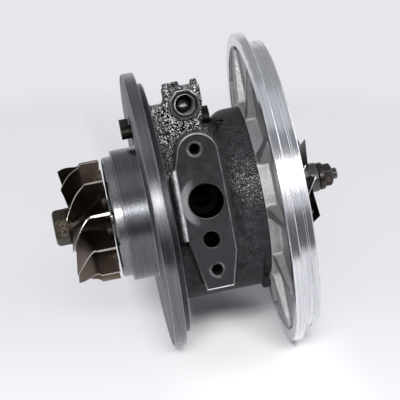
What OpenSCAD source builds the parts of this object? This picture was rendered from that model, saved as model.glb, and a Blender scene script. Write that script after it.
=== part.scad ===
// Turbocharger cartridge: bearing housing, ribbed compressor backplate, rotor on two floating bushes
// and the crank that works the variable nozzle.
// The shaft runs along X towards the compressor, the drain pad faces -Y and the oil inlet is on top.
// The origin is on the shaft axis, in the plane of the flange face that meets the turbine housing.

/* [Turbine flange] */
// Radius of the flange that the turbine housing clamps
flange_r = 56.2; // [55:0.1:60]
// Thickness of the flange
flange_t = 4.9; // [4:0.1:6]
// Radius of the step behind the flange
step_r = 51.2; // [50:0.1:52]
// Thickness of the step behind the flange
step_t = 2.7; // [2:0.1:3.2]
// Radius of the collar that centres the turbine housing
pilot_r = 26.7; // [26:0.1:28]
// Length of the collar
pilot_len = 10.4; // [10:0.1:12]
// Radius of the spigot that carries the heat shield
spigot_r = 23.4; // [22.5:0.1:23.8]
// Length of the spigot that carries the heat shield
spigot_len = 2.6; // [2:0.1:3.5]
// Chamfer on the machined edges
edge_chamfer = 0.4; // [0.2:0.05:0.6]

/* [Casting] */
// Distance from the flange face to the joint face of the drum
housing_len = 44.2; // [43.6:0.1:46]
// Radius of the casting round the bearings
neck_r = 31; // [30:0.1:32]
// Radius of the lower belly
belly_r = 30; // [29:0.1:31]
// Drop of the belly's centre below the shaft
belly_drop = 8.4; // [7.5:0.1:9]
// Radius of the drum at the compressor end
drum_r = 34.6; // [34:0.1:36]
// Length of the drum's straight part
drum_len = 5.7; // [5:0.1:6.5]
// Radius of the drum's rounded shoulder
shoulder_r = 8; // [7:0.1:9]
// Radius of the fillet between flange and casting
web_fillet = 8; // [6:0.1:9]

/* [Inlet block] */
// Start of the block behind the flange face
block_x = 14.5; // [14:0.1:15.5]
// Width of the block along the shaft
block_w = 14.4; // [13.5:0.1:15]
// Height of the block's top above the shaft
block_z = 47.6; // [47:0.1:48.4]
// Distance from the shaft to the block's front face
block_front = 20; // [19:0.1:21]
// Distance from the shaft to the back of the block's foot
block_back = 15; // [13:0.1:16]
// Depth of the block's upper part, round the oil inlet
block_depth = 14; // [13.6:0.1:15]
// Height of the saddle between flange and block
saddle_z = 41; // [40:0.1:42]
// Height of the oil inlet above the shaft
inlet_z = 40.4; // [40:0.1:41]
// Radius of the oil inlet's tapped hole
inlet_r = 4.2; // [3.8:0.1:4.4]
// Depth of the oil inlet behind the block's front face
inlet_depth = 12; // [11.5:0.1:12.4]
// Stand of the inlet boss in front of the block
boss_stand = 2.2; // [1.5:0.1:3]

/* [Drain pad] */
// Distance from the shaft to the machined pad
pad_y = 38; // [37:0.1:39]
// Place of the pad's line of holes along the shaft
pad_x = 20.9; // [20.6:0.1:21.4]
// Height of the upper tapped hole
upper_z = 23.6; // [23:0.1:24.2]
// Height of the lower tapped hole
lower_z = -24; // [-24.6:0.1:-23.4]
// Radius of the tapped holes
tapped_r = 2.3; // [2.1:0.1:2.7]
// Depth of the tapped holes
tapped_depth = 14; // [12:0.5:16]
// Height of the oil drain
drain_z = 3.2; // [2.8:0.1:3.6]
// Distance of the oil drain behind the line of holes
drain_shift = 0.7; // [0.5:0.1:0.9]
// Radius of the oil drain
drain_r = 6.8; // [6.6:0.1:7]
// Depth of the oil drain
drain_depth = 19; // [18:0.5:20]
// Height of the coolant port
coolant_z = -11.9; // [-12.3:0.1:-11.5]
// Radius of the coolant ports
coolant_r = 3.2; // [3:0.1:3.5]
// Depth of the coolant ports
coolant_depth = 16; // [14:0.5:18]
// Distance from the shaft to the rear coolant boss
rear_y = 33; // [32:0.1:34]
// Half width of the pad at the drain
pad_half_w = 9; // [8.7:0.1:9.3]
// Radius of the rounded flank beside the drain
flank_r = 3.6; // [3:0.1:4]

/* [Bearings] */
// Radius of the shaft's journals
journal_r = 4; // [3.8:0.05:4.2]
// Outer radius of the floating bushes
bush_r = 6.5; // [6.3:0.05:6.8]
// Length of the floating bushes
bush_len = 8; // [7.5:0.1:8.2]
// Running clearance of shaft, bushes and crank
run_gap = 0.04; // [0.02:0.01:0.06]
// Place of the turbine-side bush
turbine_bush_x = 8.6; // [8.4:0.1:9]
// Distance from the compressor-side bush to the thrust bearing
bush_to_thrust = 4.15; // [3.9:0.05:4.4]
// Thickness of the snap rings that hold the bushes
snap_t = 1; // [0.8:0.05:1.1]

/* [Rotor] */
// Radius of the turbine wheel where the gas enters
inducer_r = 24.9; // [24:0.1:25.5]
// Radius of the turbine wheel where the gas leaves
exducer_r = 23.4; // [22.5:0.1:23.8]
// Width of the turbine wheel's inlet edge
inducer_w = 7.8; // [7.4:0.1:8.2]
// Length of the turbine wheel's curved part
exducer_w = 9.4; // [9:0.1:10]
// Number of turbine blades
turbine_blades = 11; // [10:1:12]
// Turn of the turbine blades from inlet to outlet
turbine_wrap = 31; // [25:1:36]
// Gap between turbine wheel and heat shield
wheel_gap = 1.1; // [0.8:0.1:1.5]
// Length of the wheel's hexagonal nose
nose_len = 5.7; // [5:0.1:6.5]
// Radius of the wheel's hexagonal nose over its corners
nose_r = 7.4; // [7:0.1:7.6]
// Radius of the compressor wheel's rim
compressor_r = 26; // [25.5:0.1:26.4]
// Radius of the compressor wheel's eye
eye_r = 18.3; // [17.5:0.1:19]
// Number of full compressor blades, each with a shorter one beside it
compressor_blades = 6; // [5:1:7]
// Turn of the compressor blades
compressor_wrap = 44; // [38:1:48]
// Length of the compressor wheel
compressor_len = 16.2; // [15.8:0.1:17]
// Radius of the shaft under the compressor wheel
stub_r = 2.5; // [2.4:0.05:2.7]
// Length of the shaft nut
nut_len = 5.8; // [5.4:0.1:6.4]
// Length of thread past the nut
thread_out = 2.2; // [1.5:0.1:3]

/* [Compressor backplate] */
// Radius of the backplate's rim
rim_r = 63.7; // [63:0.1:65]
// Thickness of the rim
rim_t = 3.8; // [3.4:0.1:4.2]
// Distance from the drum joint to the back of the rim
rim_back = 3.1; // [2.8:0.1:3.4]
// Radius of the spigot that centres the compressor housing
seat_r = 59.3; // [58.9:0.1:59.6]
// Length of the spigot behind its groove
seat_len = 3.8; // [3.4:0.1:4.2]
// Length of the spigot from its groove on
lead_len = 3.2; // [3:0.1:3.6]
// Radial width of the rim's back face
rim_w = 5; // [4.6:0.1:5.4]
// Depth of the ribbed recess at the rim
recess_depth = 1.8; // [1.6:0.1:2]
// Number of ribs
rib_count = 10; // [8:1:12]
// Thickness of a rib at the hub
rib_root = 5; // [4.5:0.1:5.5]
// Thickness of a rib at the rim
rib_tip = 2.6; // [2.3:0.1:3]
// Distance from the drum's edge to the circle that the backplate screws stand on
screw_inset = 5.2; // [5:0.1:5.4]
// Radius of the screws' shanks
screw_r = 2.5; // [2.3:0.1:2.6]

/* [Vane crank] */
// Height of the crank above the shaft
crank_z = 33; // [32.8:0.1:33.4]
// Radius of the crank shaft
crank_r = 2.9; // [2.7:0.05:3]
// Reach of the crank past the flange face
crank_reach = 4.2; // [4:0.1:4.6]
// Height of the crank arm over the crank's axis
arm_z = 5.3; // [5:0.1:5.5]
// Radius of the crank's outer boss
boss_r = 4.5; // [4.2:0.1:4.7]

/* [Hidden] */
$fn = 96;
// Overshoot of a cut past the face that it opens
cut = 1;
// Clearance of a piece that is seated and does not move
seat_gap = 0.02;

// Places along the shaft, from the turbine to the compressor
web_x = flange_t + step_t;
shield_t = 1.2;
shield_x = -pilot_len - spigot_len - shield_t;
wheel_back = shield_x - wheel_gap;
inducer_x = wheel_back - inducer_w;
exducer_x = inducer_x - exducer_w;
drum_x = housing_len - drum_len;
thrust_t = 3.9;
thrust_seat = 5.65;
thrust_x = housing_len - thrust_seat;
compressor_bush_x = thrust_x - bush_to_thrust - bush_len;
collar_t = 2;
collar_x = thrust_x - collar_t - run_gap;
ring_x = thrust_x + thrust_t + run_gap;
ring_t = 1.8;
flinger_x = ring_x + ring_t;
rim_x = housing_len + rim_back;
seat_x = rim_x + rim_t;
backplate_end = seat_x + seat_len + lead_len;
disc_sunk = 2.8;
disc_back = backplate_end - disc_sunk;
eye_depth = 13;
eye_x = disc_back + eye_depth;
wheel_end = disc_back + compressor_len;
shaft_end = wheel_end + nut_len + thread_out;

// Rounded flank of the pad, beside the drain
flank_top = drain_z + 13.8;
flank_bottom = coolant_z + 0.9;

// Seals and cavities
countersink = 0.9;
seal_r = 8;
seal_room = 0.1;
seal_bore = seal_r + seal_room;
sling_r = 13;
sling_x0 = -2;
sling_x1 = 6.5;
seal_boss_end = -1;
slinger_end = 3;
chamber_r = 12;
chamber_x0 = turbine_bush_x + bush_len + 2.5;
chamber_x1 = compressor_bush_x - 2;
bush_bore = bush_r + run_gap;
bush_play = 0.1;
collar_r = 8;
collar_play = 0.5;
thrust_r = 20.8;
thrust_hole_z = 12;
thrust_hole_r = 2;
deflector_t = 0.8;
sleeve_r = 5;
flinger_r = 7;
flinger_bore = flinger_r + seal_room;
seal_groove = 1.3;
seal_lift = 0.2;
seal_ring_t = 1.1;
seal_play = 0.1;
seal_gap = 0.4;
turbine_seal_x = -8;
compressor_seal_inset = 3.7;
compressor_seal_x = disc_back - compressor_seal_inset;
snap_groove = 0.8;
snap_play = 0.05;
snap_gap = 4;
gallery_y = -8.5;
gallery_z = 17;
gallery_r = 1.5;
feed_r = 1;
drain_way_r = 4.4;
drain_wall = 0.6;
drain_way_y = drain_depth - pad_y + drain_way_r + drain_wall;
o_ring_r = 23.2;
o_ring_section = 0.9;
o_ring_groove = 1.8;
o_ring_half = 1.3;

// Backplate
hub_lip = 0.4;
hub_r = drum_r + hub_lip;
web_back = rim_x + recess_depth;
recess_r = rim_r - rim_w;
groove_x = seat_x + seat_len;
groove_w = 0.5;
groove_depth = 0.4;
wheel_play = 0.6;
slinger_room = 12;
screw_head_r = 4.2;
screw_head_t = 4;
screw_socket = 2;
screw_bite = 8;
screw_room = 0.2;
screw_angle = 55;
screw_count = 3;
screw_circle = drum_r - screw_inset;
screw_seat_x = drum_x - 1;

// Crank
crank_bush_wall = 1.6;
crank_bush_r = crank_r + crank_bush_wall;
crank_bush_end = block_x + block_w;
crank_shoulder = 0.6;
crank_groove = 0.7;
crank_seal_play = 0.05;
outer_boss_len = 3.2;
boss_room = 0.6;
crank_recess = 0.5;
arm_room = 6.1;

// A point at radius r and station x, at an angle below the side that faces the pad.
function on_shaft(r, x, a) = [x, -r * cos(a), -r * sin(a)];
function mix(a, b, t) = a + (b - a) * t;

// A revolved profile, drawn as radius across and station along the shaft.
module revolve() rotate([0, 90, 0]) rotate_extrude() children();

module band(r0, r1, x0, x1) translate([r0, x0]) square([r1 - r0, x1 - x0]);

module chamfered(r, x0, x1, c)
    polygon([[0, x0], [r - c, x0], [r, x0 + c], [r, x1 - c], [r - c, x1], [0, x1]]);

module rod(x0, x1, r) translate([x0, 0, 0]) rotate([0, 90, 0]) cylinder(h = x1 - x0, r = r);

module tube(x0, x1, r_in, r_out) revolve() band(r_in, r_out, x0, x1);

// A hole drilled along Y, from the front y0 to the depth y1.
module drill(x, z, y0, y1, r) translate([x, y1, z]) rotate([90, 0, 0]) cylinder(h = y1 - y0, r = r);

// An outline in X and Z, stood up between the front y0 and the back y1.
module stand(y0, y1) translate([0, y1, 0]) rotate([90, 0, 0]) linear_extrude(height = y1 - y0) children();

// A split ring, open over a small gap at the top.
module split_ring(x0, t, r_in, r_out, gap)
    difference() {
        tube(x0, x0 + t, r_in, r_out);
        translate([x0 - cut, -gap / 2, 0]) cube([t + 2 * cut, gap, r_out + cut]);
    }

// One blade as a closed mesh: root and tip are curves of t, turn is the angle at a radius, station and t.
module blade(root, tip, turn, root_t, tip_t, rows, cols) {
    pts = [for (side = [-1, 1]) for (i = [0:rows]) for (j = [0:cols])
        let (t = i / rows, s = j / cols, p = mix(root(t), tip(t), s), w = mix(root_t, tip_t, s))
        on_shaft(p[0], p[1], turn(p[0], p[1], t) + side * w / 2 / p[0] * 180 / PI)];
    n = (rows + 1) * (cols + 1);
    at = function (side, i, j) side * n + i * (cols + 1) + j;
    skin = [for (side = [0, 1]) for (i = [0:rows - 1]) for (j = [0:cols - 1])
        let (a = at(side, i, j), b = at(side, i + 1, j), c = at(side, i + 1, j + 1), d = at(side, i, j + 1))
        each side == 1 ? [[a, b, c], [a, c, d]] : [[c, b, a], [d, c, a]]];
    long_edges = [for (j = [0, cols]) for (i = [0:rows - 1])
        let (a = at(0, i, j), b = at(0, i + 1, j), c = at(1, i + 1, j), d = at(1, i, j))
        each j == 0 ? [[a, b, c], [a, c, d]] : [[c, b, a], [d, c, a]]];
    end_edges = [for (i = [0, rows]) for (j = [0:cols - 1])
        let (a = at(0, i, j), b = at(0, i, j + 1), c = at(1, i, j + 1), d = at(1, i, j))
        each i == 0 ? [[c, b, a], [d, c, a]] : [[a, b, c], [a, c, d]]];
    polyhedron(pts, concat(skin, long_edges, end_edges));
}

// Bearing housing: a casting with a machined flange, collar, pad and drum face.
module pad_outline() {
    end_r = 8;
    end_x = pad_x + 0.8;
    end_z = upper_z - 1.9;
    bottom_w = 5.4;
    bottom_z = lower_z - 7.2;
    right_top = drain_z + 9.4;
    right_bottom = coolant_z - 5.6;
    left = pad_x - pad_half_w;
    right = pad_x + pad_half_w;
    translate([end_x, end_z]) circle(end_r);
    polygon([[left, flank_top], [end_x - end_r, end_z + 1], [end_x + end_r, end_z], [right, right_top],
             [right, right_bottom], [pad_x + bottom_w, bottom_z], [pad_x - bottom_w, bottom_z],
             [left, flank_bottom]]);
}

module pad_boss() {
    root_y = -15;
    left = pad_x - pad_half_w;
    flank_len = flank_top - flank_bottom;
    stand(-pad_y, root_y) pad_outline();
    translate([left, flank_r - pad_y, flank_bottom]) cylinder(h = flank_len, r = flank_r);
    translate([left - flank_r, flank_r - pad_y, flank_bottom])
        cube([flank_r, root_y + pad_y - flank_r, flank_len]);
}

module block() {
    saddle_r = (block_x - web_x) / 2;
    saddle_x = web_x + saddle_r;
    brim_z = saddle_z + saddle_r;
    taper = 2;
    right = block_x + block_w;
    stand(-block_front, block_back) difference() {
        polygon([[0, 0], [0, brim_z], [saddle_x, brim_z], [saddle_x, saddle_z], [right, saddle_z],
                 [right, inlet_z], [right - taper, neck_r - 1], [right - taper, 0]]);
        translate([saddle_x, brim_z]) circle(saddle_r);
    }
    stand(-block_front, block_depth - block_front) difference() {
        polygon([[saddle_x, neck_r], [saddle_x, brim_z], [block_x, brim_z], [block_x, block_z],
                 [right, block_z], [right, inlet_z], [right - taper, neck_r]]);
        translate([saddle_x, brim_z]) circle(saddle_r);
    }
}

module inlet_boss() {
    corner_r = 6.3;
    translate([block_x + block_w / 2, -block_front, inlet_z]) rotate([90, 22.5, 0])
        cylinder(h = boss_stand, r = corner_r, $fn = 8);
}

// Cast pips left on the block's top
module block_pips() {
    stand_z = 2;
    for (pip = [[1.9, -10, 1.6], [5.6, -8.2, 1.7], [12.6, -15, 1.4]])
        translate([block_x + pip[0], pip[1], block_z - cut]) cylinder(h = stand_z + cut, r = pip[2]);
}

// Rear boss with the second coolant port
module coolant_boss() {
    wall = 5;
    drill(pad_x, -coolant_z, 0, rear_y, coolant_r + wall);
}

module outer_casting() {
    lug_r = 4.2;
    lug_len = 3.4;
    lug_drop = 2;
    revolve() {
        chamfered(flange_r, 0, flange_t, edge_chamfer);
        chamfered(step_r, flange_t - edge_chamfer, web_x, edge_chamfer);
        chamfered(pilot_r, -pilot_len, edge_chamfer, edge_chamfer);
        chamfered(spigot_r, -pilot_len - spigot_len, -pilot_len + edge_chamfer, edge_chamfer);
        band(0, neck_r, web_x - cut, drum_x);
        difference() {
            band(neck_r - cut, neck_r + web_fillet, web_x - cut, web_x + web_fillet);
            translate([neck_r + web_fillet, web_x + web_fillet]) circle(web_fillet);
        }
        band(0, drum_r, drum_x, housing_len);
        intersection() {
            translate([drum_r - shoulder_r, drum_x]) circle(shoulder_r);
            band(0, drum_r, drum_x - shoulder_r, drum_x);
        }
    }
    translate([0, 0, -belly_drop]) rod(web_x - cut, housing_len - lug_len, belly_r);
    translate([0, 0, -drum_r - lug_drop]) rod(housing_len - lug_len - seat_gap, housing_len, lug_r);
    pad_boss();
    block();
    inlet_boss();
    block_pips();
    coolant_boss();
}

module oil_ways() {
    feed_angle = atan2(-gallery_y, gallery_z);
    reach = norm([gallery_y, gallery_z]);
    inlet_x = block_x + block_w / 2;
    drain_x = pad_x + drain_shift;
    drill(inlet_x, inlet_z, -block_front - boss_stand - cut, -block_front + inlet_depth, inlet_r);
    translate([inlet_x, gallery_y, gallery_z]) cylinder(h = inlet_z - gallery_z, r = gallery_r);
    translate([0, gallery_y, gallery_z])
        rod(turbine_bush_x + bush_len / 2 - gallery_r, thrust_x + cut, gallery_r);
    for (x = [turbine_bush_x, compressor_bush_x])
        translate([x + bush_len / 2, 0, 0]) rotate([feed_angle, 0, 0]) cylinder(h = reach, r = feed_r);
    drill(drain_x, drain_z, -pad_y - cut, -pad_y + drain_depth, drain_r);
    drill(drain_x, drain_z, -pad_y, -chamber_r + 2, drain_way_r);
    translate([0, drain_way_y, drain_z]) rod(1, thrust_x + cut, drain_way_r);
}

module bearing_housing() color("#3c3c40") difference() {
    outer_casting();
    rod(shield_x - cut, cut, seal_bore);
    rod(sling_x0, sling_x1, sling_r);
    rod(0, thrust_x, bush_bore);
    rod(chamber_x0, chamber_x1, chamber_r);
    rod(collar_x - collar_play, housing_len, collar_r + 1);
    rod(thrust_x, housing_len + cut, thrust_r + seat_gap);
    for (x = snap_places()) rod(x - snap_play, x + snap_t + snap_play, bush_bore + snap_groove);
    tube(housing_len - o_ring_groove, housing_len + cut, o_ring_r - o_ring_half, o_ring_r + o_ring_half);
    oil_ways();
    for (z = [upper_z, lower_z]) {
        drill(pad_x, z, -pad_y - cut, -pad_y + tapped_depth, tapped_r);
        translate([pad_x, -pad_y + countersink, z]) rotate([90, 0, 0])
            cylinder(h = countersink + seat_gap, r1 = tapped_r, r2 = tapped_r + countersink + seat_gap);
    }
    drill(pad_x, coolant_z, -pad_y - cut, -pad_y + coolant_depth, coolant_r);
    drill(pad_x, -coolant_z, rear_y - coolant_depth, rear_y + cut, coolant_r);
    at_screws() {
        rod(drum_x - shoulder_r - cut, screw_seat_x, screw_head_r + boss_room);
        rod(screw_seat_x - cut, housing_len + cut, screw_r + screw_room);
    }
    translate([0, 0, crank_z]) {
        rod(-cut, crank_recess, arm_room);
        rod(-cut, crank_bush_end + cut, crank_bush_r + seat_gap);
        rod(crank_bush_end, crank_bush_end + outer_boss_len + boss_room, boss_r + boss_room);
    }
}

// Heat shield: a pressed cup over the spigot, behind the turbine wheel
module turbine_heat_shield() color("#9a9a9c") revolve() {
    bend = 1.2;
    eye = 0.8;
    difference() {
        chamfered(spigot_r + shield_t, shield_x, -pilot_len + bend, bend / 2);
        band(0, pilot_r, -pilot_len - seat_gap, cut);
        band(0, spigot_r + seat_gap, shield_x + shield_t, cut);
        band(0, seal_bore + eye, shield_x - cut, cut);
    }
}

module turbine_seal_ring() color("#707074")
    split_ring(turbine_seal_x + seal_play, seal_ring_t, seal_r - seal_groove + seal_lift,
               seal_bore - seat_gap, seal_gap);

// Snap rings on both sides of each floating bush
function snap_places() = [for (x = [turbine_bush_x, compressor_bush_x])
                          each [x - snap_t - bush_play, x + bush_len + bush_play]];

module bush_snap_rings() color("#2f2f31")
    for (x = snap_places())
        split_ring(x, snap_t, journal_r + 0.6, bush_bore + snap_groove - 2 * snap_play, snap_gap);

// Thrust bearing: a bronze plate in the drum, with oil holes
module thrust_bearing() color("#b08a4a") difference() {
    tube(thrust_x, thrust_x + thrust_t, sleeve_r + run_gap, thrust_r);
    for (k = [0:2]) rotate([30 + 120 * k, 0, 0]) translate([0, 0, thrust_hole_z])
        rod(thrust_x - cut, ring_x + cut, thrust_hole_r);
}

// Oil deflector: a thin plate held between thrust bearing and backplate
module oil_deflector() color("#8c8c90")
    tube(thrust_x + thrust_t + seat_gap, thrust_x + thrust_t + deflector_t, collar_r + 1, thrust_r);

// Backplate: a ribbed aluminium casting with a turned rim and spigot
module at_screws() for (k = [0:screw_count - 1])
    rotate([screw_angle + 360 / screw_count * k, 0, 0]) translate([0, -screw_circle, 0]) children();

module ribs() intersection() {
    first_rib = 11;
    rib_step = 0.3;
    reach = rim_r - 2;
    for (k = [0:rib_count - 1])
        rotate([first_rib + 360 / rib_count * k, 0, 0]) rotate([0, 90, 0]) translate([0, 0, housing_len])
            linear_extrude(height = web_back - housing_len + cut)
                polygon([[-rib_root / 2, -hub_r + 2], [-rib_tip / 2, -recess_r - 1],
                         [rib_tip / 2, -recess_r - 1], [rib_root / 2, -hub_r + 2]]);
    revolve() polygon([[0, housing_len + rib_step], [hub_r, housing_len + rib_step],
                       [reach, rim_x + rib_step], [reach, seat_x], [0, seat_x]]);
}

module compressor_backplate() color("#c4c6ca") difference() {
    union() {
        revolve() {
            band(0, hub_r, housing_len, web_back);
            difference() {
                chamfered(seat_r, web_back, backplate_end, edge_chamfer);
                band(seat_r - groove_depth, seat_r + cut, groove_x, groove_x + groove_w);
            }
            difference() {
                chamfered(rim_r, rim_x, seat_x, edge_chamfer);
                band(0, recess_r, rim_x - cut, web_back);
            }
            band(0, thrust_r - seat_gap, thrust_x + thrust_t + deflector_t + seat_gap, housing_len + cut);
        }
        ribs();
    }
    rod(thrust_x, backplate_end, flinger_bore);
    rod(thrust_x, compressor_seal_x - 2, slinger_room);
    rod(disc_back - wheel_play, backplate_end + cut, compressor_r + wheel_play);
    at_screws() rod(housing_len - cut, housing_len + screw_bite + 2 * screw_room, screw_r + seat_gap);
}

module backplate_o_ring() color("#1c1c1e") revolve()
    translate([o_ring_r, housing_len - o_ring_groove / 2]) circle(o_ring_section - seat_gap);

module backplate_screws() color("#3a3a3d") at_screws() difference() {
    union() {
        rod(screw_seat_x - screw_head_t, screw_seat_x - seat_gap, screw_head_r);
        rod(screw_seat_x - cut, housing_len + screw_bite, screw_r);
    }
    translate([screw_seat_x - screw_head_t - cut, 0, 0]) rotate([0, 90, 0])
        cylinder(h = screw_socket + cut, r = screw_r - screw_room, $fn = 6);
}

module compressor_seal_ring() color("#707074")
    split_ring(compressor_seal_x + seal_play, seal_ring_t, flinger_r - seal_groove + seal_lift,
               flinger_bore - seat_gap, seal_gap);

module crank_bush() color("#6d6558") translate([0, 0, crank_z])
    tube(crank_shoulder, crank_bush_end, crank_r + run_gap, crank_bush_r);

// Turbine wheel: radial blades on a scalloped hub, welded to the shaft
disc_r = 20.5;
disc_t = 1.8;
turbine_hub_r = 7.4;
hub_arc = disc_r - turbine_hub_r;
hub_arc_x = wheel_back - disc_t - hub_arc;
blade_sink = 0.8;
blade_back = 0.85;
scallop_r = 4.4;
scallop_out = 0.6;

function turbine_root(t) = let (a = 90 + 90 * t, arc = hub_arc + blade_sink)
    [disc_r + arc * cos(a) + (inducer_r - disc_r) * pow(1 - t, 3),
     max(hub_arc_x + arc * sin(a) + blade_back * pow(1 - t, 4), exducer_x)];
function turbine_tip(t) =
    [exducer_r + (inducer_r - exducer_r) * pow(1 - t, 12), mix(inducer_x, exducer_x, t)];
function turbine_turn(x) = turbine_wrap * pow(max(0, (inducer_x - x) / exducer_w), 1.6);

module turbine_wheel() color("#4a3d34") {
    first_blade = -10;
    root_t = 1.8;
    tip_t = 0.8;
    pitch = 360 / turbine_blades;
    difference() {
        revolve() difference() {
            band(0, disc_r, exducer_x, wheel_back);
            translate([disc_r, hub_arc_x]) circle(hub_arc);
        }
        for (k = [0:turbine_blades - 1]) rotate([first_blade + pitch * (k + 0.5), 0, 0])
            translate([0, -disc_r - scallop_out, 0]) rod(hub_arc_x, wheel_back + cut, scallop_r);
    }
    translate([exducer_x - nose_len, 0, 0]) rotate([0, 90, 0])
        cylinder(h = nose_len + cut, r = nose_r, $fn = 6);
    for (k = [0:turbine_blades - 1]) rotate([first_blade + pitch * k, 0, 0])
        blade(function (t) turbine_root(t), function (t) turbine_tip(t),
              function (r, x, t) turbine_turn(x), root_t, tip_t, 10, 2);
}

// Rotor shaft: seal boss, two journals and a long stub for the compressor end
module rotor_shaft() color("#a2a2a6") revolve() difference() {
    waist = 0.3;
    union() {
        band(0, seal_r, wheel_back, seal_boss_end);
        band(0, journal_r + 2, seal_boss_end - cut, slinger_end);
        band(0, journal_r, slinger_end - cut, collar_x);
        chamfered(stub_r, collar_x - cut, shaft_end, edge_chamfer);
    }
    band(seal_r - seal_groove, seal_r + cut, turbine_seal_x, turbine_seal_x + seal_ring_t + 2 * seal_play);
    band(journal_r - waist, journal_r + cut, chamber_x0, chamber_x1);
}

module thrust_collar() color("#8f8f93") {
    tube(collar_x, collar_x + collar_t, stub_r + seat_gap, collar_r);
    tube(collar_x + collar_t - seat_gap, ring_x, stub_r + seat_gap, sleeve_r);
}

module thrust_ring() color("#8f8f93") tube(ring_x, ring_x + ring_t, stub_r + seat_gap, collar_r);

// Oil flinger: the sleeve that carries the compressor seal ring
module oil_flinger() color("#9a9a9e") revolve() difference() {
    rim = 2.5;
    union() {
        band(stub_r + seat_gap, flinger_r, flinger_x, disc_back);
        band(stub_r + seat_gap, flinger_r + rim, flinger_x, flinger_x + ring_t);
    }
    band(flinger_r - seal_groove, flinger_r + cut,
         compressor_seal_x, compressor_seal_x + seal_ring_t + 2 * seal_play);
}

// Compressor wheel: long and short blades on a curved hub
eye_hub_r = 6;
disc_front = disc_back + 2.3;
blade_width = 3.3;
blade_r = compressor_r - 0.25;

function eye_arc(outer, inner, front, t) = [outer - (outer - inner) * cos(90 * t),
                                            eye_x - (eye_x - front) * sin(90 * t)];
function compressor_turn(t) = compressor_wrap * (0.65 * (1 - pow(1 - t, 2)) + 0.35 * pow(t, 3));

module compressor_blade(start) {
    sink = 0.6;
    root_t = 1.4;
    tip_t = 0.7;
    along = function (t) mix(start, 1, t);
    blade(function (t) eye_arc(blade_r, eye_hub_r - sink, disc_front - sink, along(t)),
          function (t) eye_arc(blade_r, eye_r, disc_front + blade_width, along(t)),
          function (r, x, t) compressor_turn(along(t)), root_t, tip_t, 8, 2);
}

module compressor_wheel() color("#6e675f") difference() {
    first_blade = -7;
    lead_start = 0.02;
    splitter_start = 0.3;
    steps = 10;
    pitch = 360 / compressor_blades;
    union() {
        revolve() polygon(concat(
            [[0, wheel_end], [eye_hub_r - 0.8, wheel_end], [eye_hub_r, wheel_end - 1]],
            [for (i = [0:steps]) eye_arc(compressor_r, eye_hub_r, disc_front, i / steps)],
            [[compressor_r, disc_back + 0.6], [flinger_r + 1, disc_back], [0, disc_back]]));
        for (k = [0:compressor_blades - 1]) {
            rotate([first_blade + pitch * k, 0, 0]) compressor_blade(lead_start);
            rotate([first_blade + pitch * (k + 0.5), 0, 0]) compressor_blade(splitter_start);
        }
    }
    rod(disc_back - cut, wheel_end + cut, stub_r + seat_gap);
}

module shaft_nut() color("#5b4a3c") difference() {
    collar_len = 2.6;
    nut_flange_r = 5.6;
    nut_r = 4.6;
    union() {
        rod(wheel_end, wheel_end + collar_len, nut_flange_r);
        translate([wheel_end + collar_len - cut, 0, 0]) rotate([0, 90, 0])
            cylinder(h = nut_len - collar_len + cut, r = nut_r, $fn = 12);
    }
    rod(wheel_end - cut, shaft_end, stub_r + seat_gap);
}

module floating_bush(x) difference() {
    tube(x, x + bush_len, journal_r + run_gap, bush_r);
    for (a = [0:60:300]) rotate([a, 0, 0])
        translate([x + bush_len / 2, 0, 0]) cylinder(h = bush_r + cut, r = feed_r);
}

module turbine_bush() color("#c09a55") floating_bush(turbine_bush_x);

module compressor_bush() color("#c09a55") floating_bush(compressor_bush_x);

// Vane crank: the shaft that turns the nozzle ring
arm_flat = 2.2;
crank_seal_x = 20;

module crank_shaft() color("#5c5442") translate([0, 0, crank_z]) difference() {
    rod(-crank_reach, crank_bush_end + outer_boss_len, crank_r);
    translate([-crank_reach - cut, -crank_r - cut, arm_flat])
        cube([crank_reach + cut - crank_shoulder, 2 * (crank_r + cut), crank_r]);
    tube(crank_seal_x, crank_seal_x + seal_ring_t, crank_r - crank_groove, crank_r + cut);
}

module crank_arm() color("#33291f") translate([-crank_reach, -crank_r * 0.8, crank_z + arm_flat])
    cube([crank_reach - crank_shoulder, crank_r * 1.6, arm_z - arm_flat]);

module crank_outer_boss() color("#33291f") translate([0, 0, crank_z])
    tube(crank_bush_end + bush_play, crank_bush_end + outer_boss_len, crank_r, boss_r);

module crank_seal_ring() color("#707074") translate([0, 0, crank_z])
    tube(crank_seal_x + crank_seal_play, crank_seal_x + seal_ring_t - crank_seal_play,
         crank_r - crank_groove + crank_seal_play, crank_r + run_gap / 2);

bearing_housing();
turbine_heat_shield();
turbine_seal_ring();
bush_snap_rings();
thrust_bearing();
oil_deflector();
compressor_backplate();
backplate_o_ring();
backplate_screws();
compressor_seal_ring();
crank_bush();
turbine_wheel();
rotor_shaft();
thrust_collar();
thrust_ring();
oil_flinger();
compressor_wheel();
shaft_nut();
turbine_bush();
compressor_bush();
crank_shaft();
crank_arm();
crank_outer_boss();
crank_seal_ring();
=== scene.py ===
"""Looks of the turbocharger cartridge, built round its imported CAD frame."""
from math import acos, asin, atan, cos, degrees, floor, hypot, radians, sin, sqrt

import bmesh
import bpy
from mathutils import Matrix, Vector


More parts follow.
